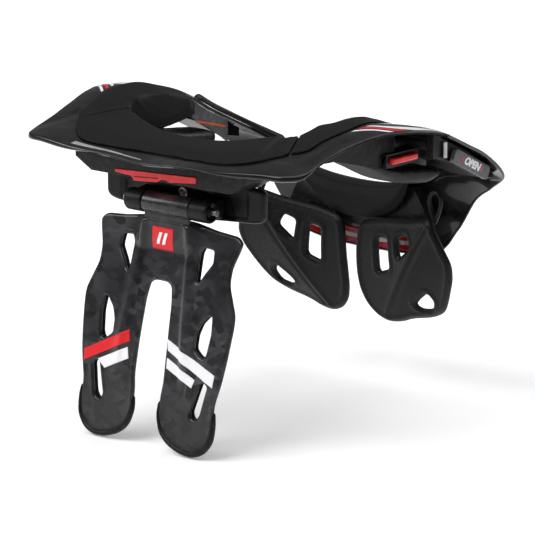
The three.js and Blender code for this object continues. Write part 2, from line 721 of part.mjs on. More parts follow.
// Strut outline, right half: x in shares of the half width, z in shares of the height below its top
const STRUT_OUTLINE = [
  [0.3, 0.0],
  [0.6, 0.02],
  [0.88, 0.03],
  [0.95, 0.055],
  [0.93, 0.09],
  [0.87, 0.17],
  [0.87, 0.24],
  [0.93, 0.3],
  [1.0, 0.37],
  [1.0, 0.43],
  [0.97, 0.57],
  [0.94, 0.66],
  [0.88, 0.77],
  [0.89, 0.86],
  [0.87, 0.93],
  [0.78, 0.98],
  [0.66, 1.0],
  [0.51, 0.995],
  [0.35, 0.97],
  [0.24, 0.93],
  [0.18, 0.86],
  [0.18, 0.77],
  [0.2, 0.71],
  [0.19, 0.55],
  [0.17, 0.36],
  [0.14, 0.29],
  [0.08, 0.275],
];
const STRUT_WINDOWS = [
  [
    [0.61, 0.105],
    [0.47, 0.1],
    [0.44, 0.13],
    [0.45, 0.25],
    [0.48, 0.255],
    [0.54, 0.21],
    [0.62, 0.16],
  ],
  [
    [0.72, 0.385],
    [0.68, 0.385],
    [0.59, 0.43],
    [0.55, 0.48],
    [0.55, 0.54],
    [0.62, 0.565],
    [0.68, 0.575],
    [0.71, 0.55],
    [0.735, 0.46],
  ],
  [
    [0.72, 0.675],
    [0.68, 0.68],
    [0.59, 0.82],
    [0.62, 0.845],
    [0.67, 0.845],
    [0.71, 0.82],
    [0.77, 0.69],
  ],
];

// How far back the strut's rear face lies at a height, and forward at its outer edges.
function strutY(x, z) {
  const down = STRUT_TOP_Z - z;
  const wrap = STRUT_WRAP * (x / STRUT_HALF_WIDTH) ** 4;
  return STRUT_TOP_Y - STRUT_LEAN * down + STRUT_CURVE * down * down + wrap;
}

// A bent plate: the slab between two y offsets of a surface, within an outline with holes.
function bentPlate(outline, holes, surfaceY, near, far, xs, zs) {
  const slab = (offset) => xs.map((x) => zs.map((z) => new THREE.Vector3(x, surfaceY(x, z) + offset, z)));
  const reach = xs.flatMap((x) => zs.map((z) => surfaceY(x, z)));
  const prism = extrudeY(outline, Math.min(...reach) + near - 1, Math.max(...reach) + far + 1, holes);
  return common(prism, gridBody(slab(far), slab(near)));
}

const STRUT_GRID_MARGIN = 3;
const LEG_CENTRE = 0.55;
const PAD_INSET = 0.07; // the pad stops short of the plate's outline by this share of its half width
function strutPlate(near, far, inset) {
  const rows = STRUT_OUTLINE.map(([x, z]) => [
    x + (z > 0.1 && x < LEG_CENTRE ? inset / 2 : -inset),
    z < 0.1 ? z + inset / 2 : z - (z > 0.9 ? inset / 2 : 0),
  ]);
  const size = [STRUT_HALF_WIDTH, STRUT_TOP_Z, STRUT_HEIGHT];
  const windows = STRUT_WINDOWS.map((hole) => halfOutline(hole, ...size));
  const holes = [...windows, ...windows.map((hole) => hole.map(([x, z]) => [-x, z]))];
  const wide = STRUT_HALF_WIDTH + STRUT_GRID_MARGIN;
  const low = STRUT_TOP_Z - STRUT_HEIGHT - STRUT_GRID_MARGIN;
  const outline = bothHalves(halfOutline(rows, ...size));
  return bentPlate(outline, holes, strutY, near, far, steps(-wide, wide, 6), steps(low, STRUT_TOP_Z + 1, 9));
}

const webBottom = STRUT_TOP_Z - 2 * JOINING;
const barrelWeb = boxBetween(-BARREL_HALF, BARREL_HALF, HINGE_Y, STRUT_TOP_Y + JOINING, webBottom, HINGE_Z);
const strutBody = joined(
  strutPlate(0, STRUT_WALL, 0),
  rodX(BARREL_RADIUS, -BARREL_HALF, BARREL_HALF, HINGE_Y, HINGE_Z),
  barrelWeb,
);
add("thoracic_strut", cutBy(strutBody, bore), carbon);
add(
  "thoracic_pad",
  strutPlate(STRUT_WALL + CLEARANCE, STRUT_WALL + CLEARANCE + STRUT_PAD_THICKNESS, PAD_INSET),
  fabric,
);

// Rim bars along the front table's neck edge
const RIM_BAR_SHARE = 0.13;
const RIM_BAR_THICKNESS = 4.5;
const RIM_BAR_EDGE = 0.6;
const rimBarGrid = surfaceGrid(frontPoint, steps(0.36, 0.96, 12), [RIM_BAR_SHARE, 0.07, 0]);
addPair(
  "front_rim_bar",
  wallOn(rimBarGrid, away, CLEARANCE, RIM_BAR_THICKNESS, RIM_BAR_EDGE),
  satin,
);

// Collar pad on the inside of the neck's front
const collarEnd = 0.32;
add(
  "front_collar",
  rimPad(
    frontPoint,
    steps(-collarEnd, collarEnd, 14),
    () => 0.12,
    (along) => COLLAR_DROP * (1 - 0.85 * (along / collarEnd) ** 2),
    COLLAR_THICKNESS,
  ),
  fabric,
);

// Side panels that hang from the front shell beside the neck
const PANEL_FLOOR = [
  { at: 0, z: 0.39 },
  { at: 0.4, z: 0.17 },
  { at: 0.8, z: -0.04 },
  { at: 1, z: -0.17 },
];
const panelEnd = 64;
const panelFloor = (y) => rowAt(PANEL_FLOOR, (y - SEAM_Y) / (panelEnd - SEAM_Y)).z * CREST_RISE;
const panelGrid = surfaceGrid(frontPoint, steps(0.66, 0.985, 10), [0.04, 0.16, 0.3]);
addPair(
  "side_panel",
  common(
    filledUnder(panelGrid, (p) => p.setZ(panelFloor(p.y))),
    boxBetween(PANEL_X, PANEL_X + PANEL_WALL, SEAM_Y, panelEnd, -CREST_RISE, CREST_RISE),
  ),
  grained,
);

// Side blocks under the front table: outline [y from the seam, z] in shares of the neck front and the rise
const BLOCK_OUTLINE = [
  [0.0, 0.9],
  [0.95, 0.2],
  [0.9, -0.2],
  [0.7, -0.13],
  [0.47, 0.04],
  [0.26, 0.22],
  [0.05, 0.34],
  [0.03, 0.52],
];
const blockSpan = NECK_FRONT - SEAM_Y;
const blockOutline = BLOCK_OUTLINE.map(([y, z]) => [SEAM_Y + CLEARANCE + y * blockSpan, z * CREST_RISE]);
const blockGrid = surfaceGrid(frontPoint, steps(0.5, 0.995, 14), [0.12, 0.3, 0.5, 0.7, 0.86]);
const NOSE_LENGTH = 9.6;
const NOSE_HEIGHT = 6;
const NOSE_ROOT = 4;
const NOSE_GAP = 1;
const noseBottom = BUTTON_Z + BUTTON_HEIGHT + NOSE_GAP;
const nose = boxBetween(
  BLOCK_INNER_X,
  BLOCK_OUTER_X,
  SEAM_Y - NOSE_LENGTH,
  SEAM_Y + NOSE_ROOT,
  noseBottom,
  noseBottom + NOSE_HEIGHT,
);
const block = common(
  filledUnder(blockGrid, (p) => p.setZ(-CREST_RISE)),
  extrudeX(blockOutline, BLOCK_INNER_X, BLOCK_OUTER_X),
);
addPair("side_block", joined(block, nose), satin);

// Ribbed windows on the side blocks, in shares of the same sizes
const WINDOW_OUTLINE = [
  [0.0, 0.63],
  [0.2, 0.49],
  [0.17, 0.37],
  [0.03, 0.53],
];
addPair(
  "side_window",
  extrudeX(
    WINDOW_OUTLINE.map(([y, z]) => [SEAM_Y + y * blockSpan, z * CREST_RISE]),
    BLOCK_OUTER_X + CLEARANCE,
    BLOCK_OUTER_X + CLEARANCE + WINDOW_THICKNESS,
  ),
  grained,
);

// Opening levers, turned about their front end
function lever() {
  const tilt = THREE.MathUtils.degToRad(LEVER_TILT);
  const half = LEVER_HEIGHT / 2;
  const local = [
    [half, -half],
    [half, half],
    [-LEVER_LENGTH, half],
    [-LEVER_LENGTH, -half],
  ];
  const points = local.map(([along, across]) => [
    LEVER_PIVOT_Y + along * Math.cos(tilt) - across * Math.sin(tilt),
    LEVER_PIVOT_Z + along * Math.sin(tilt) + across * Math.cos(tilt),
  ]);
  const inner = BLOCK_OUTER_X + CLEARANCE;
  return extrudeX(points, inner, inner + LEVER_THICKNESS);
}
addPair("open_lever", lever(), satin);

// Chest frame behind the bib, with the studs that carry the chest pads
function chestY(x, z) {
  const across = Math.abs(x);
  const flap = Math.max(0, (across - CREASE_X) * CREASE_ACROSS + (z - CREASE_Z) * CREASE_UP);
  const bow = CHEST_PAD_BOW * (z - CHEST_PAD_MIDDLE_Z) ** 2;
  return CHEST_PAD_Y + bow - CHEST_PAD_ROUND * across * across + CHEST_FLAP_SLOPE * flap;
}
const padHalf = CHEST_PAD_THICKNESS / 2;
const frameGrid = surfaceGrid(frontPoint, steps(-0.17, 0.17, 10), [0.5, 0.62, 0.74, 0.84]);
const frameBody = filledUnder(frameGrid, (p) => p.setY(CHEST_FRAME_REAR));
const STUD_PLACES = [
  [0.22, 0.17],
  [0.45, 0.14],
];
const studs = STUD_PLACES.flatMap(([across, down]) =>
  [1, -1].map((side) => {
    const x = side * across * CHEST_PAD_WIDTH;
    const z = CHEST_PAD_TOP - down * CHEST_PAD_HEIGHT;
    const round = [-STUD_RADIUS, 0, STUD_RADIUS];
    const seat = Math.max(...round.flatMap((dx) => round.map((dz) => chestY(x + dx, z + dz))));
    return rodY(STUD_RADIUS, seat + padHalf + CLEARANCE, CHEST_FRAME_REAR + 2 * JOINING, x, z);
  }),
);
add("chest_frame", joined(frameBody, ...studs), satin);

// Chest pads: outline and windows in shares of their width from the middle and of their height
const CHEST_OUTLINE = [
  [0.0556, 0.327],
  [0.0833, 0.163],
  [0.315, 0.102],
  [0.491, 0.0816],
  [0.648, 0.051],
  [0.815, 0],
  [0.907, 0.173],
  [1, 0.367],
  [0.981, 0.5],
  [0.889, 0.694],
  [0.806, 0.827],
  [0.667, 0.898],
  [0.481, 0.939],
  [0.37, 0.99],
  [0.259, 1],
  [0.167, 0.959],
  [0.0926, 0.867],
  [0.0556, 0.745],
  [0.0463, 0.592],
];
const CHEST_WINDOWS = [
  [
    [0.269, 0.286],
    [0.361, 0.265],
    [0.38, 0.5],
    [0.278, 0.541],
  ],
  [
    [0.481, 0.24],
    [0.574, 0.204],
    [0.611, 0.286],
    [0.5, 0.388],
  ],
  [
    [0.556, 0.796],
    [0.611, 0.735],
    [0.713, 0.653],
    [0.759, 0.724],
    [0.722, 0.806],
    [0.611, 0.827],
  ],
];
const chestSize = [CHEST_PAD_WIDTH, CHEST_PAD_TOP, CHEST_PAD_HEIGHT];
addPair(
  "chest_pad",
  bentPlate(
    halfOutline(CHEST_OUTLINE, ...chestSize),
    CHEST_WINDOWS.map((rows) => halfOutline(rows, ...chestSize)),
    chestY,
    -padHalf,
    padHalf,
    steps(2, CHEST_PAD_WIDTH + 2, 10),
    steps(CHEST_PAD_TOP - CHEST_PAD_HEIGHT - 2, CHEST_PAD_TOP + 2, 10),
  ),
  grained,
);

// Strap loops at the pads' upper outer corners
const LOOP_X = 0.8;
const LOOP_WIDTH = 9;
const LOOP_HEIGHT = 26;
const LOOP_BAND = 2.4;
function strapLoop() {
  const ring = (inset) =>
    steps(0, 1, 18)
      .slice(0, -1)
      .map((k) => {
        const turn = 2 * Math.PI * k;
        const taper = 0.62 + 0.38 * Math.sin(turn);
        return [
          LOOP_X * CHEST_PAD_WIDTH + (LOOP_WIDTH - inset) * Math.cos(turn) * taper,
          CHEST_PAD_TOP + LOOP_HEIGHT / 4 + (LOOP_HEIGHT / 2 - inset) * Math.sin(turn),
        ];
      });
  const behind = ring(0).filter(([, z]) => z < CHEST_PAD_TOP);
  const near = Math.max(...behind.map(([x, z]) => chestY(x, z))) + padHalf + CLEARANCE;
  return extrudeY(ring(0), near, near + 2 * LOOP_WIRE, [ring(LOOP_BAND)]);
}
addPair("strap_loop", strapLoop(), satin);

// Trim band inside the bib's lower edge
const trimGrid = surfaceGrid(frontPoint, steps(-0.13, 0.13, 10), [0.88, 0.93, 0.98]);
const trimBack = -(SHELL_WALL + CLEARANCE);
add("trim_band", wallOn(trimGrid, away, trimBack, trimBack - TRIM_WALL), red);

export default brace;
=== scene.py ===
"""Motocross neck brace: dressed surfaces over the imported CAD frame.

Everything is in metres in the CAD frame: the wearer faces +Y, +X is their right side, and the origin is
the centre of the neck opening at shoulder level. Shapes are worked out in millimetres and are scaled
once, when their mesh is made.
"""

from __future__ import annotations

import json
import logging
import math
from dataclasses import dataclass
from enum import Enum
from typing import Callable, Sequence

import bmesh
import bpy
import numpy as np
from mathutils import Matrix, Vector
from mathutils.geometry import delaunay_2d_cdt


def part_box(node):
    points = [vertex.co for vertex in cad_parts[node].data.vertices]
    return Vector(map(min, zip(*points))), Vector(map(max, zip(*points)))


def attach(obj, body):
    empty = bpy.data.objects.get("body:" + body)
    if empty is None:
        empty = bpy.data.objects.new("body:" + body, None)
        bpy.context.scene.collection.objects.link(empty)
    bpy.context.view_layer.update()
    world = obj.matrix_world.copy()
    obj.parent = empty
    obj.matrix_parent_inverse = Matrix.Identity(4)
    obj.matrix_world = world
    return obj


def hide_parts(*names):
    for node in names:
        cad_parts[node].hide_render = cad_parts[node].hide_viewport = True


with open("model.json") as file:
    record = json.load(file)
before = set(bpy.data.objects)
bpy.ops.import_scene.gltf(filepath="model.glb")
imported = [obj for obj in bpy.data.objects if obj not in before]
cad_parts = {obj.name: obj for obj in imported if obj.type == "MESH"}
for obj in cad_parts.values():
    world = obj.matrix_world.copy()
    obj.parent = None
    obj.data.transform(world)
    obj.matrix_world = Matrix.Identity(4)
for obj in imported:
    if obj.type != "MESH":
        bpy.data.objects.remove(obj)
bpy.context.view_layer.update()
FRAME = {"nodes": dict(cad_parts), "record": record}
LOG = logging.getLogger("brace")
MM = 0.001

# Main sizes, in millimetres, as in the part's source
HALF_WIDTH = 154.0
REAR_REACH = 148.0
FRONT_REACH = 125.0
CREST_RISE = 50.0
BIB_DROP = 91.0
NECK_HALF_WIDTH = 93.0
NECK_REAR = 90.0
NECK_FRONT = 104.0
SEAM_Y = 18.0
SEAM_GAP = 1.2
SHELL_WALL = 2.5
CLEARANCE = 0.3
HINGE_Y = -117.0
HINGE_Z = -14.8
BARREL_RADIUS = 8.5
BARREL_HALF = 23.0
KNUCKLE_WIDTH = 17.0
FILM_THICKNESS = 0.15
FILM_RADIUS = 0.12

# Edges sharper than this many degrees are bevelled, and those sharper than the second are shaded sharp
BEVEL_ANGLE = 28.0
SHARP_ANGLE = 50.0

# Blender's cloth for the fabric covers
COVER_FRAMES = 20
COVER_CLOTH = {
    "quality": 6,
    "mass": 0.25,
    "tension_stiffness": 20,
    "compression_stiffness": 20,
    "shear_stiffness": 10,
    "bending_stiffness": 1.5,
    "use_pressure": True,
}


class Body(str, Enum):
    """The moving bodies of the brace."""

    REAR = "rear"
    STRUT = "strut"
    FRONT = "front"
    LEVER_RIGHT = "lever_right"
    LEVER_LEFT = "lever_left"
    BUTTON_RIGHT = "button_right"
    BUTTON_LEFT = "button_left"


class Side(Enum):
    """The two sides of the brace, with the sign of their x."""

    RIGHT = 1
    LEFT = -1

    @property
    def word(self) -> str:
        """The side's word in node names."""
        return self.name.lower()


SIDES = (Side.RIGHT, Side.LEFT)


@dataclass(frozen=True)
class Sections:
    """Rows of a section table, read with a smooth curve through them.

    A row's first value is its place along the table. Between two rows each value follows the cubic
    Hermite curve whose slopes are those between the rows on either side.
    """

    names: tuple[str, ...]
    rows: tuple[tuple[float, ...], ...]
    mirrored: bool = False

    def at(self, where: np.ndarray) -> dict[str, np.ndarray]:
        """Reads every column at the given places.

        Args:
            where: places along the table.

        Returns:
            One array for each column's name.
        """
        table = np.array(self.rows, float)
        key, values = table[:, 0], table[:, 1:]
        slope = np.empty_like(values)
        slope[1:-1] = (values[2:] - values[:-2]) / (key[2:] - key[:-2])[:, None]
        slope[0] = (values[1] - values[0]) / (key[1] - key[0])
        slope[-1] = (values[-1] - values[-2]) / (key[-1] - key[-2])
        if self.mirrored:
            even = np.array([not name.endswith("x") for name in self.names])
            slope[0, even] = 0.0
        where = np.asarray(where, float)
        i = np.clip(np.searchsorted(key, where, side="right") - 1, 0, len(key) - 2)
        span = (key[i + 1] - key[i])[..., None]
        f = (where[..., None] - key[i][..., None]) / span
        p0, p1 = values[i], values[i + 1]
        m0, m1 = slope[i] * span, slope[i + 1] * span
        value = p0 + m0 * f + (3 * (p1 - p0) - 2 * m0 - m1) * f**2 + (2 * (p0 - p1) + m0 + m1) * f**3
        return {name: value[..., k] for k, name in enumerate(self.names)}


REAR_SECTIONS = Sections(
    ("rim_x", "rim_y", "rim_z", "edge_x", "edge_y", "edge_z", "crown", "seam"),
    (
        (0.0, 0.0, -1.0, 0.55, 0.0, -1.0, 0.445, 0.02, 0),
        (0.14, 0.36, -0.985, 0.58, 0.23, -1.003, 0.495, 0.02, 0),
        (0.28, 0.66, -0.92, 0.68, 0.47, -0.99, 0.505, 0.02, 0),
        (0.4, 0.86, -0.83, 0.76, 0.7, -0.955, 0.54, 0.02, 0),
        (0.46, 0.92, -0.77, 0.81, 0.81, -0.925, 0.535, 0.03, 0),
        (0.53, 0.97, -0.69, 0.84, 0.868, -0.83, 0.55, 0.05, 0),
        (0.6, 0.99, -0.58, 0.87, 0.867, -0.69, 0.68, 0.07, 0),
        (0.68, 1.0, -0.44, 0.86, 0.885, -0.54, 0.81, 0.09, 0),
        (0.78, 1.0, -0.274, 0.86, 0.925, -0.383, 0.92, 0.1, 0.05),
        (0.88, 1.0, -0.175, 0.76, 0.965, -0.2925, 0.92, 0.1, 0.3),
        (1.0, 1.0, 0, 0.59, 1.0, 0, 0.76, 0.09, 1),
    ),
    mirrored=True,
)

FRONT_SECTIONS = Sections(
    ("rim_x", "rim_y", "rim_z", "top_x", "top_y", "top_z", "edge_x", "edge_y", "edge_z"),
    (
        (0.0, 0, 1.0, 0.598, 0, 0.981, 0.655, 0, 1.0, 1.0),
        (0.12, 0.32, 0.994, 0.584, 0.273, 0.963, 0.632, 0.42, 0.986, 0.96),
        (0.22, 0.516, 0.969, 0.54, 0.429, 0.934, 0.566, 0.578, 0.972, 0.8),
        (0.32, 0.645, 0.925, 0.447, 0.571, 0.906, 0.468, 0.7, 0.944, 0.61),
        (0.42, 0.753, 0.8, 0.397, 0.675, 0.84, 0.397, 0.83, 0.878, 0.515),
        (0.54, 0.903, 0.673, 0.33, 0.766, 0.653, 0.326, 0.968, 0.756, 0.404),
        (0.68, 0.99, 0.487, 0.262, 0.812, 0.447, 0.234, 0.994, 0.503, 0.262),
        (0.84, 1.01, 0.253, 0.191, 0.812, 0.222, 0.149, 1.0, 0.23, 0.163),
        (1.0, 1.0, 0, 0.106, 0.79, 0, 0.067, 1.0, 0.017, 0.089),
    ),
    mirrored=True,
)


def stacked(x: np.ndarray, y: np.ndarray, z: np.ndarray) -> np.ndarray:
    """Points from their three coordinates, broadcast together."""
    return np.stack(np.broadcast_arrays(x, y, z), axis=-1).astype(float)


def unit(vectors: np.ndarray) -> np.ndarray:
    """The vectors divided by their lengths."""
    return vectors / np.maximum(np.linalg.norm(vectors, axis=-1, keepdims=True), 1e-9)


def smooth_step(low: float, high: float, value: np.ndarray) -> np.ndarray:
    """0 below low, 1 above high, and 3t^2 - 2t^3 between them."""
    t = np.clip((value - low) / (high - low), 0.0, 1.0)
    return t * t * (3 - 2 * t)


def bump(value: np.ndarray, centre: float, width: float) -> np.ndarray:
    """A smooth hump of height 1: exp(-((value - centre) / width)^2)."""
    return np.exp(-(((value - centre) / width) ** 2))


def plateau(value: np.ndarray, low: float, high: float, fade: float) -> np.ndarray:
    """1 between low and high, falling smoothly to 0 over the fade inside each end."""
    return smooth_step(low, low + fade, value) * smooth_step(high, high - fade, value)


def bilinear(corners: Sequence[Sequence[float]], s: np.ndarray, t: np.ndarray) -> np.ndarray:
    """The mix of four corners: (1-s)(1-t) a + s (1-t) b + s t c + (1-s) t d."""
    a, b, c, d = np.array(corners, float)
    s, t = s[..., None], t[..., None]
    return (1 - s) * (1 - t) * a + s * (1 - t) * b + s * t * c + (1 - s) * t * d


def rear_point(along: np.ndarray, share: np.ndarray) -> np.ndarray:
    """Points of the rear shell's outer surface.

    A section is the straight line from the neck rim to the outer edge, raised by 4 s (1 - s) times its
    crown, and its y is pulled to the seam line where the section's seam share grows to 1.

    Args:
        along: -1 at the left seam, 0 at the rear middle, 1 at the right seam.
        share: 0 at the neck rim, 1 at the outer edge.

    Returns:
        Points in millimetres, one for each pair.
    """
    along, share = np.broadcast_arrays(np.asarray(along, float), np.asarray(share, float))
    row = REAR_SECTIONS.at(np.abs(along))
    seam_y = SEAM_Y - SEAM_GAP / 2
    rim_y = row["rim_y"] * NECK_REAR * (1 - row["seam"]) + seam_y * row["seam"]
    edge_y = row["edge_y"] * REAR_REACH * (1 - row["seam"]) + seam_y * row["seam"]
    x = row["rim_x"] * NECK_HALF_WIDTH * (1 - share) + row["edge_x"] * HALF_WIDTH * share
    z = (row["rim_z"] * (1 - share) + row["edge_z"] * share) * CREST_RISE
    z = z + 4 * share * (1 - share) * row["crown"] * CREST_RISE
    return stacked(x * np.where(along < 0, -1.0, 1.0), rim_y * (1 - share) + edge_y * share, z)


def front_point(along: np.ndarray, share: np.ndarray) -> np.ndarray:
    """Points of the front shell's outer surface.

    A section is the parabola through its rim, top and edge points at shares 0, 0.5 and 1.

    Args:
        along: -1 at the left seam, 0 at the front middle, 1 at the right seam.
        share: 0 at the neck rim, 1 at the outer or lower edge.

    Returns:
        Points in millimetres, one for each pair.
    """
    along, share = np.broadcast_arrays(np.asarray(along, float), np.asarray(share, float))
    row = FRONT_SECTIONS.at(np.abs(along))
    start = SEAM_Y + SEAM_GAP / 2

    def place(width: float, key: str, reach: float) -> np.ndarray:
        """A named point of the sections: x of the width, y of the reach, z down from the crest."""
        z = CREST_RISE - row[key + "_z"] * (CREST_RISE + BIB_DROP)
        return stacked(row[key + "_x"] * width, start + row[key + "_y"] * (reach - start), z)

    s = share[..., None]
    point = place(NECK_HALF_WIDTH, "rim", NECK_FRONT) * (1 - s) * (1 - 2 * s)
    point = point + place(HALF_WIDTH, "top", FRONT_REACH) * 4 * s * (1 - s)
    point = point + place(HALF_WIDTH, "edge", FRONT_REACH) * s * (2 * s - 1)
    point[..., 0] *= np.where(along < 0, -1.0, 1.0)
    return point


def away(grid: np.ndarray) -> np.ndarray:
    """A direction up and away from the neck, for each point."""
    flat = unit(grid * np.array([1.0, 1.0, 0.0]))
    return flat * 0.5 + np.array([0.0, 0.0, 1.0])


def toward(grid: np.ndarray) -> np.ndarray:
    """A direction up and toward the neck, for each point."""
    flat = unit(grid * np.array([1.0, 1.0, 0.0]))
    return flat * -0.6 + np.array([0.0, 0.0, 0.8])


def grid_normals(grid: np.ndarray, facing: np.ndarray) -> np.ndarray:
    """Unit normals of a grid of points: the cross product of its two differences, turned to facing."""
    normal = unit(np.cross(np.gradient(grid, axis=0), np.gradient(grid, axis=1)))
    flip = np.sum(normal * facing, axis=-1, keepdims=True) < 0
    return np.where(flip, -normal, normal)


def travelled(points: np.ndarray, axis: int = 0) -> np.ndarray:
    """The distance from the first point along one axis of an array: the sum of the steps before each."""
    steps = np.linalg.norm(np.diff(points, axis=axis), axis=-1)
    return np.concatenate([np.zeros_like(steps.take([0], axis)), np.cumsum(steps, axis=axis)], axis=axis)


def border_distance(grid: np.ndarray) -> np.ndarray:
    """The smallest distance of each point of a grid to its border, along its rows and columns."""
    down, over = travelled(grid), travelled(grid, 1)
    return np.min([down, down[-1:] - down, over, over[:, -1:] - over], axis=0)


def rounded(distance: np.ndarray, radius: float) -> np.ndarray:
    """The rise of a rounded border: sqrt(1 - (1 - d / r)^2), 0 at the border and 1 from the radius on."""
    return np.sqrt(np.clip(1 - (1 - np.clip(distance / radius, 0, 1)) ** 2, 0, 1))


def relaxed(grid: np.ndarray, times: int) -> np.ndarray:
    """The grid after so many rounds in which each inner column b becomes (a + 2 b + c) / 4."""
    for _ in range(times):
        grid[:, 1:-1] = (grid[:, :-2] + grid[:, 2:]) / 4 + grid[:, 1:-1] / 2
    return grid


def eased(count: int, low: float = 0.0, high: float = 1.0, ease: float = 0.75) -> np.ndarray:
    """Places from low to high, closer together at both ends: a mix of t and (1 - cos(pi t)) / 2."""
    t = np.linspace(0.0, 1.0, count)
    return low + (high - low) * ((1 - ease) * t + ease * (0.5 - 0.5 * np.cos(np.pi * t)))


def lattice(index: np.ndarray) -> np.ndarray:
    """Quads between the neighbours of a two-dimensional array of vertex numbers."""
    return np.stack([index[:-1, :-1], index[1:, :-1], index[1:, 1:], index[:-1, 1:]], -1).reshape(-1, 4)


def outward(points: np.ndarray, faces: np.ndarray) -> np.ndarray:
    """Turns the faces of a closed mesh over when the volume they enclose is negative."""
    a, b, c = points[faces[:, 0]], points[faces[:, 1]], points[faces[:, 2]]
    volume = np.sum(a * np.cross(b, c))
    if faces.shape[1] == 4:
        d = points[faces[:, 3]]
        volume += np.sum(a * np.cross(c, d))
    return faces[:, ::-1] if volume < 0 else faces


def linked(name: str, data: bpy.types.ID) -> bpy.types.Object:
    """A new object with the given data, linked to the scene."""
    made = bpy.data.objects.new(name, data)
    bpy.context.scene.collection.objects.link(made)
    return made


def mesh_object(
    name: str,
    points: np.ndarray,
    faces: np.ndarray,
    uv: np.ndarray | None = None,
    values: dict[str, np.ndarray] | None = None,
) -> bpy.types.Object:
    """Makes a smooth mesh object from whole arrays.

    Args:
        name: the piece's name.
        points: vertices in millimetres.
        faces: vertex numbers, one row for each face.
        uv: an optional place on the surface for each vertex, in millimetres.
        values: optional named numbers for each vertex.

    Returns:
        The object, linked to the scene at the origin.
    """
    used, inverse = np.unique(faces, return_inverse=True)
    faces = inverse.reshape(faces.shape)
    mesh = bpy.data.meshes.new(name)
    mesh.from_pydata((points[used] * MM).tolist(), [], faces.tolist())
    mesh.polygons.foreach_set("use_smooth", np.ones(len(mesh.polygons), bool))
    if uv is not None:
        layer = mesh.uv_layers.new(name="surface")
        corner = np.empty(len(mesh.loops), np.int32)
        mesh.loops.foreach_get("vertex_index", corner)
        layer.uv.foreach_set("vector", (uv[used][corner] * MM).astype(np.float32).ravel())
    for key, value in (values or {}).items():
        attribute = mesh.attributes.new(key, "FLOAT", "POINT")
        attribute.data.foreach_set("value", value[used].astype(np.float32))
    mesh.update()
    return linked(name, mesh)


def pillow(
    name: str,
    grid: np.ndarray,
    facing: np.ndarray,
    near: float,
    far: float,
    radius: float,
    flat_back: bool = True,
    relief: np.ndarray | float = 0.0,
) -> bpy.types.Object:
    """A closed body on a surface, with rounded borders.

    From the height b at the border, which is near or halfway to far, the front stands at
    b + (far - b + relief) f and the back at b + (near - b) f, where f is the rise of a rounded border.

    Args:
        name: the piece's name.
        grid: points of the surface, rows by columns.
        facing: the side of the front, one direction or one for each point.
        near: the back's height over the surface.
        far: the front's height over the surface.
        radius: the width of the rounded border.
        flat_back: whether the back keeps its height up to the border.
        relief: extra height of the front.

    Returns:
        The object, with its place on the surface as UV and its distance from the border as "edge".
    """
    normals = grid_normals(grid, facing)
    distance = border_distance(grid)
    rise = rounded(distance, radius)
    base = near if flat_back else (near + far) / 2
    front = base + (far - base + relief) * rise
    back = base + (near - base) * rise
    rows, columns = distance.shape
    upper = np.arange(rows * columns).reshape(rows, columns)
    lower = upper + rows * columns
    inner = np.zeros((rows, columns), bool)
    inner[1:-1, 1:-1] = True
    lower = np.where(inner, lower, upper)
    points = np.concatenate([grid + normals * front[..., None], grid + normals * back[..., None]])
    points = points.reshape(-1, 3)
    faces = outward(points, np.concatenate([lattice(upper), lattice(lower)[:, ::-1]]))
    along = travelled(grid[:, columns // 2])[:, None]
    uv = np.stack(np.broadcast_arrays(along, travelled(grid, 1)), -1).reshape(-1, 2)
    return mesh_object(name, points, faces, np.tile(uv, (2, 1)), {"edge": np.tile(distance.ravel(), 2)})


def ringed(name: str, rings: np.ndarray, closed: bool = False) -> bpy.types.Object:
    """A closed body through rings of points.

    Args:
        name: the piece's name.
        rings: points, rings by points round each.
        closed: whether the last ring joins the first; otherwise a fan of triangles closes each end.

    Returns:
        The object.
    """
    count, width = rings.shape[:2]
    points = rings.reshape(-1, 3)
    index = np.arange(count * width).reshape(count, width)
    index = np.concatenate([index, index[:, :1]], axis=1)
    if closed:
        return mesh_object(name, points, outward(points, lattice(np.concatenate([index, index[:1]]))))
    points = np.concatenate([points, rings[[0, -1]].mean(axis=1)])
    first = np.stack([np.full(width, count * width), index[0, 1:], index[0, :-1]], -1)
    last = np.stack([np.full(width, count * width + 1), index[-1, :-1], index[-1, 1:]], -1)
    sides = lattice(index)
    faces = np.concatenate([sides[:, [0, 1, 2]], sides[:, [0, 2, 3]], first, last])
    return mesh_object(name, points, outward(points, faces))


def sweep(
    name: str, path: np.ndarray, profile: np.ndarray, up: Sequence[float], closed: bool = False
) -> bpy.types.Object:
    """A profile carried along a path.

    The frame at each point is the path's tangent t, the side up x t and the direction t x side; a profile
    point (a, b) lies at a along the side and b along that direction.

    Args:
        name: the piece's name.
        path: points in millimetres.
        profile: outline points, or one outline for each path point.
        up: the direction that stays on the profile's second axis.
        closed: whether the path returns to its start.

    Returns:
        The object.
    """
    if closed:
        tangent = unit(np.roll(path, -1, axis=0) - np.roll(path, 1, axis=0))
    else:
        tangent = unit(np.gradient(path, axis=0))
    side = unit(np.cross(np.asarray(up, float), tangent))
    rise = np.cross(tangent, side)
    outline = np.broadcast_to(profile, (len(path),) + np.shape(profile)[-2:])
    rings = path[:, None] + outline[..., :1] * side[:, None] + outline[..., 1:] * rise[:, None]
    return ringed(name, rings, closed)


def circle(count: int) -> np.ndarray:
    """Points round the unit circle: (cos t, sin t)."""
    turn = np.linspace(0, 2 * np.pi, count, endpoint=False)
    return np.stack([np.cos(turn), np.sin(turn)], -1)


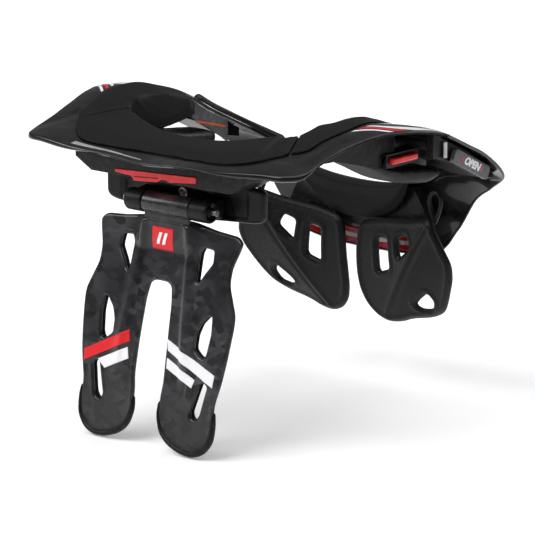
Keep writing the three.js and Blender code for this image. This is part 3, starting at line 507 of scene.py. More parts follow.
def rounded_loop(corners: Sequence[Sequence[float]], radius: float, spacing: float) -> np.ndarray:
    """A closed outline with its corners rounded, at even spacing.

    Each corner becomes the quadratic curve (1-t)^2 a + 2t(1-t) p + t^2 b between the points a and b that
    lie the radius before and after it, or 0.45 of the shorter side where that is less.

    Args:
        corners: the outline's corners.
        radius: how far from a corner its curve begins.
        spacing: the distance between the points of the result.

    Returns:
        The outline's points, without a repeated last one.
    """
    p = np.array(corners, float)
    before, after = np.roll(p, 1, axis=0) - p, np.roll(p, -1, axis=0) - p
    length = np.minimum(np.linalg.norm(before, axis=1), np.linalg.norm(after, axis=1))
    reach = np.minimum(radius, 0.45 * length)[:, None]
    a, b = p + unit(before) * reach, p + unit(after) * reach
    t = np.linspace(0, 1, 7)[None, :, None]
    curve = (1 - t) ** 2 * a[:, None] + 2 * t * (1 - t) * p[:, None] + t**2 * b[:, None]
    loop = curve.reshape(-1, 2)
    ring = np.concatenate([loop, loop[:1]])
    reach_along = travelled(ring)
    count = max(int(reach_along[-1] / spacing), 12)
    places = np.linspace(0, reach_along[-1], count, endpoint=False)
    return np.stack([np.interp(places, reach_along, ring[:, k]) for k in (0, 1)], -1)


def loop_distance(points: np.ndarray, loops: Sequence[np.ndarray]) -> np.ndarray:
    """The distance of each point to the nearest side of any of the loops."""
    best = np.full(len(points), np.inf)
    for loop in loops:
        start, side = loop, np.roll(loop, -1, axis=0) - loop
        square = np.maximum(np.sum(side**2, axis=1), 1e-12)
        for part in np.array_split(np.arange(len(points)), max(1, len(points) // 4000)):
            offset = points[part, None] - start[None]
            share = np.clip(np.sum(offset * side, axis=-1) / square, 0, 1)
            gap = np.linalg.norm(offset - share[..., None] * side, axis=-1).min(axis=1)
            best[part] = np.minimum(best[part], gap)
    return best


def inside_loops(points: np.ndarray, loops: Sequence[np.ndarray]) -> np.ndarray:
    """Whether each point is inside an odd number of the loops, by crossings of a ray along the first axis."""
    crossings = np.zeros(len(points), int)
    x, y = points[:, :1], points[:, 1:]
    for loop in loops:
        ax, ay = loop[:, 0], loop[:, 1]
        bx, by = np.roll(ax, -1), np.roll(ay, -1)
        straddles = (ay > y) != (by > y)
        slope = (bx - ax) / np.where(by == ay, 1e-9, by - ay)
        crossings += np.sum(straddles & (x < ax + (y - ay) * slope), axis=1)
    return crossings % 2 == 1


@dataclass
class Plate:
    """A plate with holes: an outline in x and z, and the surface that gives its y."""

    loops: list[np.ndarray]
    surface: Callable[[np.ndarray, np.ndarray], np.ndarray]
    near: float
    far: float
    radius: float
    spacing: float = 1.6
    relief: Callable[[np.ndarray, np.ndarray, np.ndarray], np.ndarray] | None = None
    back_relief: Callable[[np.ndarray, np.ndarray, np.ndarray], np.ndarray] | None = None

    def build(self, name: str) -> bpy.types.Object:
        """Makes the plate.

        The outline, rings just inside it and a triangular lattice of points are triangulated. With d the
        distance to the outline and f the rise of a rounded border, the two sides stand f times half the
        plate's thickness from its middle, plus the relief, so they meet in a rounded edge.

        Args:
            name: the piece's name.

        Returns:
            The object, with x and z as UV and the distance to the outline as "edge".
        """
        flat, triangles = self._triangulated()
        distance = loop_distance(flat, self.loops)
        x, z = flat[:, 0], flat[:, 1]
        rise = rounded(distance, self.radius)
        middle, half = (self.near + self.far) / 2, (self.far - self.near) / 2
        rear = -self.relief(x, z, distance) if self.relief else 0.0
        front = self.back_relief(x, z, distance) if self.back_relief else 0.0
        y = self.surface(x, z) + middle
        points = np.concatenate([stacked(x, y + shift * rise, z) for shift in (rear - half, half + front)])
        number = np.arange(len(flat))
        other = np.where(distance < 1e-6, number, number + len(flat))
        faces = outward(points, np.concatenate([triangles, other[triangles][:, ::-1]]))
        return mesh_object(name, points, faces, np.tile(flat, (2, 1)), {"edge": np.tile(distance, 2)})

    def _triangulated(self) -> tuple[np.ndarray, np.ndarray]:
        """The plate's points in x and z, and the triangles between them."""
        clouds = [np.concatenate(self.loops)]
        edges = []
        start = 0
        for loop in self.loops:
            number = np.arange(len(loop)) + start
            edges.append(np.stack([number, np.roll(number, -1)], -1))
            start += len(loop)
        for depth in (0.18, 0.5, 1.0, 1.8):
            clouds.append(self._ring(min(depth, self.radius) if depth < 1 else depth))
        low, high = self.loops[0].min(axis=0), self.loops[0].max(axis=0)
        row = self.spacing * math.sqrt(3) / 2
        x, z = np.meshgrid(np.arange(low[0], high[0], self.spacing), np.arange(low[1], high[1], row))
        x = x + np.where(np.arange(x.shape[0]) % 2, self.spacing / 2, 0.0)[:, None]
        field_points = np.stack([x.ravel(), z.ravel()], -1)
        keep = inside_loops(field_points, self.loops)
        field_points = field_points[keep]
        clouds.append(field_points[loop_distance(field_points, self.loops) > 1.8 + 0.5 * self.spacing])
        cloud = np.concatenate(clouds)
        result = delaunay_2d_cdt(cloud.tolist(), np.concatenate(edges).tolist(), [], 0, 1e-5)
        flat = np.array([tuple(v) for v in result[0]])
        triangles = np.array([f for f in result[2] if len(f) == 3])
        return flat, triangles[inside_loops(flat[triangles].mean(axis=1), self.loops)]

    def _ring(self, depth: float) -> np.ndarray:
        """Points a little inside the loops that no other loop comes nearer to."""
        rings = []
        for k, loop in enumerate(self.loops):
            tangent = unit(np.roll(loop, -1, axis=0) - np.roll(loop, 1, axis=0))
            normal = np.stack([-tangent[:, 1], tangent[:, 0]], -1)
            following = np.roll(loop, -1, axis=0)
            area = np.sum(loop[:, 0] * following[:, 1] - following[:, 0] * loop[:, 1])
            sign = np.sign(area) * (1 if k == 0 else -1)
            rings.append(loop + normal * sign * depth)
        ring = np.concatenate(rings)
        ring = ring[inside_loops(ring, self.loops)]
        return ring[loop_distance(ring, self.loops) > 0.93 * depth]


def prism(
    name: str, outline: np.ndarray, low: float, high: float, axis: str, bevel: float = 0.4, segments: int = 3
) -> bpy.types.Object:
    """An outline carried straight along an axis, with bevelled edges.

    Args:
        name: the piece's name.
        outline: points in the two other axes, in the order (y, z) for x, (x, z) for y and (x, y) for z.
        low: where it starts on the axis.
        high: where it ends.
        axis: "x", "y" or "z".
        bevel: the width of its bevels.
        segments: how many faces round a bevel has.

    Returns:
        The object.
    """
    order = {"x": (2, 0, 1), "y": (0, 2, 1), "z": (0, 1, 2)}[axis]
    count = len(outline)
    ends = np.concatenate([np.c_[outline, np.full(count, low)], np.c_[outline, np.full(count, high)]])
    points = ends[:, order]
    number = np.arange(count)
    sides = np.stack([number, np.roll(number, -1), np.roll(number, -1) + count, number + count], -1)
    mesh = bpy.data.meshes.new(name)
    caps = [number[::-1].tolist(), (number + count).tolist()]
    mesh.from_pydata((points * MM).tolist(), [], sides.tolist() + caps)
    faced_outward(mesh)
    piece = linked(name, mesh)
    bevelled(piece, bevel, segments)
    return piece


def faced_outward(mesh: bpy.types.Mesh) -> None:
    """Recalculates the faces of a closed mesh so that they point outward."""
    work = bmesh.new()
    work.from_mesh(mesh)
    bmesh.ops.remove_doubles(work, verts=work.verts, dist=1e-6)
    bmesh.ops.recalc_face_normals(work, faces=work.faces)
    work.to_mesh(mesh)
    work.free()


def bevelled(piece: bpy.types.Object, width: float, segments: int = 3) -> None:
    """Rounds a piece's sharp edges.

    Args:
        piece: the piece.
        width: the bevel's width in millimetres.
        segments: how many faces it has.
    """
    mesh = piece.data
    mesh.polygons.foreach_set("use_smooth", np.ones(len(mesh.polygons), bool))
    modifier = piece.modifiers.new("bevel", "BEVEL")
    modifier.width = width * MM
    modifier.segments = segments
    modifier.limit_method = "ANGLE"
    modifier.angle_limit = math.radians(BEVEL_ANGLE)
    modifier.harden_normals = False
    mesh.set_sharp_from_angle(angle=math.radians(SHARP_ANGLE))


def node_copy(node: str, name: str, bevel: float) -> bpy.types.Object:
    """A merged copy of a CAD node with bevelled edges, to stand for it.

    Args:
        node: the CAD node.
        name: the copy's name.
        bevel: the width of its bevels in millimetres.

    Returns:
        The copy.
    """
    mesh = FRAME["nodes"][node].data.copy()
    mesh.name = name
    mesh.materials.clear()
    work = bmesh.new()
    work.from_mesh(mesh)
    bmesh.ops.remove_doubles(work, verts=work.verts, dist=2e-6)
    bmesh.ops.dissolve_limit(work, angle_limit=math.radians(1.0), verts=work.verts, edges=work.edges)
    work.to_mesh(mesh)
    work.free()
    piece = linked(name, mesh)
    bevelled(piece, bevel)
    return piece


def placed(piece: bpy.types.Object, body: Body, material: bpy.types.Material, slot: str, *nodes: str) -> None:
    """Gives a finished piece its material, its body and the CAD nodes it stands for.

    Args:
        piece: the piece.
        body: the body it moves with.
        material: its finish.
        slot: the record's material slot; not used.
        nodes: the CAD nodes that it replaces.
    """
    piece.data.materials.clear()
    piece.data.materials.append(material)
    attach(piece, body.value)
    if nodes:
        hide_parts(*nodes)
    LOG.info("%s: %d faces on %s", piece.name, len(piece.data.polygons), body.value)


def puffed(piece: bpy.types.Object, free: np.ndarray, pressure: float, travel: float) -> None:
    """Blows a fabric cover up a little with Blender's cloth, and keeps the result in the mesh.

    The back and the border are pinned, as they are glued to the shell, and no point moves further than
    travel.

    Args:
        piece: the pad.
        free: how free each vertex is, from 0 pinned to 1.
        pressure: the pressure inside the cover.
        travel: the furthest that a point may move, in millimetres.
    """
    mesh = piece.data
    group = piece.vertex_groups.new(name="pinned")
    levels = np.round(1 - np.clip(free, 0, 1), 2)
    for level in np.unique(levels):
        group.add(np.flatnonzero(levels == level).tolist(), float(level), "REPLACE")
    cloth = piece.modifiers.new("cover", "CLOTH")
    settings = cloth.settings
    for key, value in COVER_CLOTH.items():
        setattr(settings, key, value)
    settings.uniform_pressure_force = pressure
    settings.effector_weights.gravity = 0
    settings.vertex_group_mass = group.name
    scene = bpy.context.scene
    for frame in range(COVER_FRAMES):
        scene.frame_set(frame + 1)
    depsgraph = bpy.context.evaluated_depsgraph_get()
    result = piece.evaluated_get(depsgraph).data
    moved = np.empty(len(mesh.vertices) * 3)
    rest = np.empty_like(moved)
    result.vertices.foreach_get("co", moved)
    mesh.vertices.foreach_get("co", rest)
    moved, rest = moved.reshape(-1, 3), rest.reshape(-1, 3)
    step = moved - rest
    length = np.linalg.norm(step, axis=1, keepdims=True)
    limit = travel * MM
    step = step * np.where(length > 1e-9, np.tanh(length / limit) * limit / np.maximum(length, 1e-9), 0)
    piece.modifiers.remove(cloth)
    piece.vertex_groups.remove(group)
    scene.frame_set(1)
    mesh.vertices.foreach_set("co", (rest + step).astype(np.float32).ravel())
    mesh.update()


class Tree:
    """A small builder for the node tree of a material or a group."""

    def __init__(self, tree: bpy.types.NodeTree) -> None:
        """Wraps a node tree."""
        self.tree = tree

    def add(self, kind: str, **settings: object) -> bpy.types.Node:
        """Adds a node and sets its properties."""
        node = self.tree.nodes.new(kind)
        for key, value in settings.items():
            setattr(node, key, value)
        return node

    def put(self, socket: bpy.types.NodeSocket, value: object) -> None:
        """Links a socket into an input, or sets the input's value."""
        if isinstance(value, bpy.types.NodeSocket):
            self.tree.links.new(value, socket)
        else:
            socket.default_value = value

    def math(self, operation: str, *values: object, clamp: bool = False) -> bpy.types.NodeSocket:
        """The result of a Math node."""
        node = self.add("ShaderNodeMath", operation=operation, use_clamp=clamp)
        for socket, value in zip(node.inputs, values):
            self.put(socket, value)
        return node.outputs[0]

    def vector(self, operation: str, *values: object) -> bpy.types.NodeSocket:
        """The vector result of a Vector Math node."""
        node = self.add("ShaderNodeVectorMath", operation=operation)
        for socket, value in zip(node.inputs, values):
            self.put(socket, value)
        return node.outputs[0]

    def mix(self, factor: object, low: object, high: object) -> bpy.types.NodeSocket:
        """A colour between two colours."""
        node = self.add("ShaderNodeMix", data_type="RGBA")
        self.put(node.inputs[0], factor)
        self.put(node.inputs[6], low)
        self.put(node.inputs[7], high)
        return node.outputs[2]

    def ramp(
        self, value: object, low: float, high: float, out_low: float = 0.0, out_high: float = 1.0
    ) -> bpy.types.NodeSocket:
        """A value carried smoothly from one range to another."""
        node = self.add("ShaderNodeMapRange", interpolation_type="SMOOTHSTEP")
        for socket, number in zip(node.inputs, (value, low, high, out_low, out_high)):
            self.put(socket, number)
        return node.outputs[0]

    def noise(self, vector: object, scale: object, detail: float = 3.0) -> bpy.types.NodeSocket:
        """A noise value around 0.5."""
        node = self.add("ShaderNodeTexNoise")
        self.put(node.inputs["Vector"], vector)
        self.put(node.inputs["Scale"], scale)
        node.inputs["Detail"].default_value = detail
        return node.outputs[0]

    def cells(self, vector: object, scale: object, feature: str = "F1") -> bpy.types.Node:
        """A Voronoi node."""
        node = self.add("ShaderNodeTexVoronoi", feature=feature)
        self.put(node.inputs["Vector"], vector)
        self.put(node.inputs["Scale"], scale)
        return node


def new_group(
    name: str, inputs: dict[str, object], outputs: Sequence[str]
) -> tuple[Tree, dict[str, bpy.types.NodeSocket], bpy.types.Node]:
    """A shader node group with named sockets.

    Args:
        name: the group's name.
        inputs: each input's name and value; a tuple makes a vector socket.
        outputs: the names of its value outputs.

    Returns:
        Its tree, its input sockets by name, and its output node.
    """
    group = bpy.data.node_groups.new(name, "ShaderNodeTree")
    for key, value in inputs.items():
        kind = "NodeSocketVector" if isinstance(value, tuple) else "NodeSocketFloat"
        socket = group.interface.new_socket(name=key, in_out="INPUT", socket_type=kind)
        socket.default_value = value
    for key in outputs:
        group.interface.new_socket(name=key, in_out="OUTPUT", socket_type="NodeSocketFloat")
    tree = Tree(group)
    source = tree.add("NodeGroupInput")
    return tree, {s.name: s for s in source.outputs if s.name}, tree.add("NodeGroupOutput")


class Effects:
    """The effects that several finishes share, each one node group."""

    def __init__(self) -> None:
        """Builds the groups."""
        self.flakes = self._flakes()
        self.grain = self._grain()
        self.mesh = self._mesh()
        self.wear = self._wear()

    @staticmethod
    def _flakes() -> bpy.types.NodeTree:
        """Chopped carbon: two layers of long cells that lie in different directions, in patches."""
        inputs = {"Vector": (0, 0, 0), "Size": 60.0}
        tree, given, out = new_group("chopped_flakes", inputs, ("Shade", "Height"))
        bend = tree.add("ShaderNodeTexNoise")
        tree.put(bend.inputs["Vector"], given["Vector"])
        bend.inputs["Scale"].default_value = 25.0
        shift = tree.vector("MULTIPLY", bend.outputs["Color"], (0.02, 0.02, 0.02))
        bent = tree.vector("ADD", given["Vector"], shift)
        layers = []
        for stretch in ((1.0, 0.42, 1.6), (0.5, 1.3, 0.6)):
            cell = tree.cells(tree.vector("MULTIPLY", bent, stretch), given["Size"])
            layers.append(tree.math("FRACT", tree.math("MULTIPLY", cell.outputs["Color"], 1.7)))
        patch = tree.ramp(tree.noise(given["Vector"], 55.0, 1.0), 0.45, 0.55)
        low = tree.math("MULTIPLY", layers[0], tree.math("SUBTRACT", 1.0, patch))
        shade = tree.math("ADD", low, tree.math("MULTIPLY", layers[1], patch))
        cloud = tree.noise(given["Vector"], 14.0, 2.0)
        shade = tree.math("MULTIPLY", shade, tree.ramp(cloud, 0.35, 0.7, 0.25, 1.0))
        tree.put(out.inputs["Shade"], shade)
        tree.put(out.inputs["Height"], tree.math("ADD", shade, tree.noise(bent, 400.0, 2.0)))
        return tree.tree

    @staticmethod
    def _grain() -> bpy.types.NodeTree:
        """Moulded grain: small rounded cells with a little noise."""
        inputs = {"Vector": (0, 0, 0), "Size": 900.0}
        tree, given, out = new_group("moulded_grain", inputs, ("Height", "Shade"))
        cell = tree.cells(given["Vector"], given["Size"], "SMOOTH_F1").outputs["Distance"]
        broad = tree.noise(given["Vector"], 30.0, 3.0)
        tree.put(out.inputs["Height"], tree.math("SUBTRACT", 1.0, cell))
        tree.put(out.inputs["Shade"], broad)
        return tree.tree

    @staticmethod
    def _mesh() -> bpy.types.NodeTree:
        """Spacer mesh: round holes in staggered rows, a pitch apart, read from the piece's own UV map."""
        inputs = {"Vector": (0, 0, 0), "Pitch": 0.0022}
        tree, given, out = new_group("spacer_mesh", inputs, ("Hole", "Height"))
        split = tree.add("ShaderNodeSeparateXYZ")
        tree.put(split.inputs[0], given["Vector"])
        row_place = tree.math("DIVIDE", split.outputs[1], tree.math("MULTIPLY", given["Pitch"], 0.87))
        row = tree.math("FLOOR", row_place)
        stagger = tree.math("MULTIPLY", tree.math("MODULO", row, 2.0), 0.5)
        column = tree.math("ADD", tree.math("DIVIDE", split.outputs[0], given["Pitch"]), stagger)
        across = tree.math("SUBTRACT", tree.math("FRACT", column), 0.5)
        down = tree.math("SUBTRACT", tree.math("FRACT", row_place), 0.5)
        square = tree.math("ADD", tree.math("MULTIPLY", across, across), tree.math("MULTIPLY", down, down))
        hole = tree.ramp(tree.math("SQRT", square), 0.22, 0.38, 1.0, 0.0)
        tree.put(out.inputs["Hole"], hole)
        fuzz = tree.noise(given["Vector"], 2500.0, 2.0)
        height = tree.math("SUBTRACT", tree.math("MULTIPLY", fuzz, 0.35), hole)
        tree.put(out.inputs["Height"], height)
        return tree.tree

    @staticmethod
    def _wear() -> bpy.types.NodeTree:
        """Handling marks: faint smudges, and rubbed places where the edge value is small."""
        inputs = {"Vector": (0, 0, 0), "Edge": 10.0, "Reach": 1.2}
        tree, given, out = new_group("handling_wear", inputs, ("Rub", "Smudge"))
        near = tree.math("SUBTRACT", 1.0, tree.math("DIVIDE", given["Edge"], given["Reach"], clamp=True))
        spots = tree.ramp(tree.noise(given["Vector"], 240.0, 4.0), 0.42, 0.68)
        tree.put(out.inputs["Rub"], tree.math("MULTIPLY", near, spots))
        tree.put(out.inputs["Smudge"], tree.ramp(tree.noise(given["Vector"], 38.0, 5.0), 0.4, 0.75))
        return tree.tree


Colour = tuple[float, float, float]


@dataclass(frozen=True)
class Finish:
    """A surface finish, made into one material.

    The colour runs from dark to light with the chosen pattern's shade; smudges change the roughness and
    rubbed edges lighten the colour.
    """

    name: str
    dark: Colour
    light: Colour
    roughness: float
    pattern: str = "grain"
    size: float = 900.0
    depth: float = 0.12
    coat: float = 0.0
    coat_roughness: float = 0.1
    metallic: float = 0.0
    specular: float = 0.2
    rub: float = 0.25
    smudge: float = 0.08

    def material(self, effects: Effects) -> bpy.types.Material:
        """Builds the material.

        Args:
            effects: the shared node groups.

        Returns:
            The material.
        """
        made = bpy.data.materials.new(self.name)
        made.use_nodes = True
        made.node_tree.nodes.clear()
        tree = Tree(made.node_tree)
        coordinates = tree.add("ShaderNodeTexCoord")
        own = coordinates.outputs["Object"]
        edge = tree.add("ShaderNodeAttribute", attribute_name="edge")
        shader = tree.add("ShaderNodeBsdfPrincipled")
        bump = tree.add("ShaderNodeBump")
        bump.inputs["Strength"].default_value = 1.0
        bump.inputs["Distance"].default_value = self.depth * MM
        group = tree.add("ShaderNodeGroup", node_tree=getattr(effects, self.pattern))
        place = coordinates.outputs["UV"] if self.pattern == "mesh" else own
        tree.put(group.inputs["Vector"], place)
        if self.pattern == "mesh":
            group.inputs["Pitch"].default_value = self.size * MM
            shade = tree.math("SUBTRACT", 1.0, group.outputs["Hole"])
        else:
            group.inputs["Size"].default_value = self.size
            shade = group.outputs["Shade"]
        marks = tree.add("ShaderNodeGroup", node_tree=effects.wear)
        tree.put(marks.inputs["Vector"], own)
        tree.put(marks.inputs["Edge"], edge.outputs["Fac"])
        colour = tree.mix(shade, (*self.dark, 1), (*self.light, 1))
        worn = tuple(min(1.0, c * 1.8 + 0.03) for c in self.light)
        colour = tree.mix(tree.math("MULTIPLY", marks.outputs["Rub"], self.rub), colour, (*worn, 1))
        rough = tree.math("MULTIPLY_ADD", marks.outputs["Smudge"], self.smudge, self.roughness, clamp=True)
        tree.put(bump.inputs["Height"], group.outputs["Height"])
        tree.put(shader.inputs["Base Color"], colour)
        tree.put(shader.inputs["Roughness"], rough)
        tree.put(shader.inputs["Normal"], bump.outputs["Normal"])
        for key, value in (
            ("Metallic", self.metallic),
            ("Coat Weight", self.coat),
            ("Coat Roughness", self.coat_roughness),
            ("Coat IOR", 1.33),
            ("Specular IOR Level", self.specular),
        ):
            shader.inputs[key].default_value = value
        tree.put(tree.add("ShaderNodeOutputMaterial").inputs["Surface"], shader.outputs["BSDF"])
        return made


FINISHES = {
    row[0]: Finish(*row[1:])
    for row in (
        ("carbon", "chopped_carbon", (0.006, 0.006, 0.007), (0.072, 0.07, 0.077), 0.3,
         "flakes", 130.0, 0.05, 0.6, 0.12, 0.0, 0.2, 0.1),
        ("shell", "lacquered_carbon", (0.001, 0.001, 0.001), (0.018, 0.018, 0.02), 0.3,
         "flakes", 85.0, 0.04, 1.0, 0.06),
        ("mesh", "mesh_cover", (0.001, 0.001, 0.001), (0.01, 0.01, 0.011), 0.62,
         "mesh", 1.9, 0.25, 0.0, 0.1, 0.0, 0.14),
        ("lever", "lever_grey", (0.09, 0.09, 0.095), (0.14, 0.14, 0.15), 0.34, "grain", 1500.0, 0.04),
        # silver film: partly a print, partly a painted highlight along the rear-left rim
        ("silver_print_and_highlight", "silver_film", (0.22, 0.22, 0.23), (0.42, 0.42, 0.44), 0.22,
         "grain", 700.0, 0.02, 0.5),
        ("grained", "grained_foam", (0.001, 0.001, 0.001), (0.004, 0.004, 0.005), 0.42, "grain", 800.0, 0.34),
        ("satin", "satin_moulding", (0.003, 0.003, 0.003), (0.008, 0.008, 0.009), 0.36,
         "grain", 1500.0, 0.05),
        ("grey", "grey_moulding", (0.045, 0.046, 0.05), (0.075, 0.076, 0.082), 0.36, "grain", 1500.0, 0.05),
        ("rubber", "black_rubber", (0.001, 0.001, 0.001), (0.004, 0.004, 0.004), 0.4, "grain", 1300.0, 0.08),
        ("red", "red_gloss", (0.6, 0.012, 0.016), (0.72, 0.018, 0.024), 0.3, "grain", 700.0, 0.02, 0.5, 0.08),
        ("red_print", "red_print", (0.62, 0.014, 0.02), (0.72, 0.02, 0.026), 0.36, "grain", 700.0, 0.02, 0.3),
        ("white_print", "white_print", (0.78, 0.78, 0.8), (0.86, 0.86, 0.88), 0.36,
         "grain", 700.0, 0.02, 0.3),
        ("panel", "speckled_panel", (0.05, 0.05, 0.053), (0.16, 0.16, 0.17), 0.5, "grain", 900.0, 0.1),
        ("orange", "orange_line", (0.7, 0.12, 0.03), (0.8, 0.16, 0.04), 0.4, "grain", 700.0, 0.02),
        ("steel", "turned_steel", (0.3, 0.3, 0.31), (0.42, 0.42, 0.44), 0.3,
         "grain", 1500.0, 0.03, 0.0, 0.1, 1.0),
    )  # fmt: skip
}


def lip_columns(
    edge: np.ndarray, before: np.ndarray, count: int, drop: np.ndarray, flare: float
) -> np.ndarray:
    """The turned-down edge of a shell.

    For q from 0 to 1 a point lies flare (1 - (1 - q)^2) outward of the edge and drop q^1.4 below it.

    Args:
        edge: the edge points.
        before: points a little inside the edge, which give the outward direction.
        count: how many columns it gets.
        drop: its depth in each row.
        flare: how far it leans out.

    Returns:
        Points, rows by count.
    """
    out = unit((edge - before) * np.array([1.0, 1.0, 0.0]))
    q = np.linspace(0, 1, count + 1)[1:]
    lean = flare * (1 - (1 - q) ** 2)
    depth = drop[:, None] * q**1.4
    return edge[:, None] + out[:, None] * lean[:, None] + np.array([0, 0, -1.0]) * depth[..., None]


def rim_grid(
    point: Callable[[np.ndarray, np.ndarray], np.ndarray],
    along: np.ndarray,
    outer: np.ndarray,
    drop: np.ndarray,
    columns: tuple[int, int],
) -> np.ndarray:
    """A pad's surface: from its outer border across the shell to the neck rim, then down the wall.

    Args:
        point: the shell's surface.
        along: the pad's rows.
        outer: the share of its outer border in each row.
        drop: how far it runs down under the rim in each row.
        columns: how many points lie on the shell and on the wall.

    Returns:
        Points, rows by columns, with the rim rounded.
    """
    over = eased(columns[0], 1.0, 0.0, 0.6)
    across = point(along[:, None], outer[:, None] * over)
    rim = across[:, -1]
    down = eased(columns[1] + 1, 0.0, 1.0, 0.6)[1:]
    wall = rim[:, None] + np.array([0, 0, -1.0]) * (drop[:, None] * down)[..., None]
    return relaxed(np.concatenate([across, wall], axis=1), 10)


@dataclass(frozen=True)
class Cover:
    """A fabric cover glued round a pad: its sizes in millimetres, and how it is blown up."""

    thickness: float
    radius: float
    hem_depth: float
    hem_width: float
    pinned: float
    travel: float
    pressure: float = 3.0

    def hem(self, grid: np.ndarray) -> np.ndarray:
        """1 at the border, and 0 from the hem's width on."""
        return 1 - smooth_step(1.0, self.hem_width, border_distance(grid))

    def build(
        self,
        name: str,
        grid: np.ndarray,
        sunk: np.ndarray,
        body: Body,
        material: bpy.types.Material,
        node: str,
    ) -> None:
        """Builds the cover, free in the cloth from 2.5 times its pinned width on.

        Args:
            name: the piece's name.
            grid: points of the surface under it.
            sunk: how much of the hem's depth each point lies lower.
            body: the body it moves with.
            material: its finish.
            node: the CAD node that it replaces.
        """
        relief = -self.hem_depth * sunk
        piece = pillow(name, grid, toward(grid), CLEARANCE, self.thickness, self.radius, relief=relief)
        edge = np.empty(len(piece.data.vertices))
        piece.data.attributes["edge"].data.foreach_get("value", edge)
        puffed(piece, smooth_step(self.pinned, 2.5 * self.pinned, edge), self.pressure, self.travel)
        placed(piece, body, material, "fabric", node)


@dataclass
class RearHalf:
    """The rear shell with its pads, cores, buttons and seam brackets."""

    finishes: dict[str, bpy.types.Material]
    lip_drop: float = 4.2
    lip_least: float = 0.5
    lip_flare: float = 1.1
    pad_end: float = 0.448
    pad_drop: float = 9.0
    pad_cover: Cover = Cover(5.6, 1.5, 3.6, 13.0, 5.0, 1.2)
    raised_end: float = 0.352
    end_sink: float = 0.75
    arch_start: float = 0.456
    arch_end: float = 0.985
    arch_cover: Cover = Cover(4.4, 1.4, 2.8, 11.0, 4.0, 1.0)
    wall_drop: float = 25.5
    pad_border: Sections = Sections(
        ("share",),
        (
            (0, 0.672), (0.07, 0.7), (0.12, 0.76), (0.18, 0.79), (0.24, 0.82), (0.3, 0.8),
            (0.35, 0.72), (0.45, 0.5),
        ),
        True,
    )  # fmt: skip
    arch_pad: Sections = Sections(
        ("share", "drop"),
        (
            (0.46, 0.5, 0.12),
            (0.56, 0.52, 0.3),
            (0.62, 0.56, 0.62),
            (0.7, 0.6, 0.9),
            (0.78, 0.56, 1.0),
            (0.88, 0.42, 0.75),
            (1.0, 0.26, 0.22),
        ),
    )

    def build(self) -> None:
        """Builds every piece of the rear half."""
        self.shell()
        self.rear_pad()
        for side in SIDES:
            self.arch_pad_piece(side)
            self.hard_parts(side)

    def shell(self) -> None:
        """The carbon collar, with its outer edge turned down."""
        along = eased(301, -1, 1, 0.25)[:, None]
        grid = rear_point(along, eased(44, 0.06, 1.0, 0.6))
        corner = smooth_step(0.12, 0.36, np.abs(along[:, 0])) * smooth_step(0.62, 0.5, np.abs(along[:, 0]))
        drop = self.lip_least + (self.lip_drop - self.lip_least) * corner
        lip = lip_columns(grid[:, -1], grid[:, -6], 9, drop, self.lip_flare)
        grid = relaxed(np.concatenate([grid, lip], axis=1), 3)
        piece = pillow("rear_shell_skin", grid, away(grid), -SHELL_WALL, 0.0, 1.25, flat_back=False)
        placed(piece, Body.REAR, self.finishes["shell"], "carbon", "rear_shell")

    def rear_pad(self) -> None:
        """The mesh-covered pad over the rear rim."""
        along = eased(181, -self.pad_end, self.pad_end, 0.6)
        share = self.pad_border.at(np.abs(along))["share"]
        grid = rim_grid(rear_point, along, share, np.full(len(along), self.pad_drop), (46, 12))
        lower = smooth_step(self.raised_end, self.raised_end + 0.02, np.abs(along))[:, None]
        sunk = np.maximum(self.pad_cover.hem(grid), self.end_sink * lower)
        self.pad_cover.build("rear_pad_cover", grid, sunk, Body.REAR, self.finishes["mesh"], "rear_pad")

    def arch_pad_piece(self, side: Side) -> None:
        """The pad over one arch, with the mesh wall inside the neck."""
        along = eased(141, self.arch_start, self.arch_end, 0.6)
        row = self.arch_pad.at(along)
        grid = rim_grid(rear_point, along, row["share"], row["drop"] * self.wall_drop, (34, 30))
        grid[..., 0] *= side.value
        name, node = f"arch_pad_cover_{side.word}", f"arch_pad_{side.word}"
        self.arch_cover.build(name, grid, self.arch_cover.hem(grid), Body.REAR, self.finishes["mesh"], node)

    def hard_parts(self, side: Side) -> None:
        """The moulded core under one arch, its button and the seam bracket."""
        word = side.word
        for node, name, bevel, body, finish, slot in (
            ("arch_core", "arch_core_body", 0.8, Body.REAR, "satin", "satin"),
            ("pivot_bracket", "pivot_bracket_body", 0.5, Body.REAR, "rubber", "satin"),
            ("release_button", "release_button_cap", 1.4, Body[f"BUTTON_{side.name}"], "red", "red"),
        ):
            piece = node_copy(f"{node}_{word}", f"{name}_{word}", bevel)
            placed(piece, body, self.finishes[finish], slot, f"{node}_{word}")


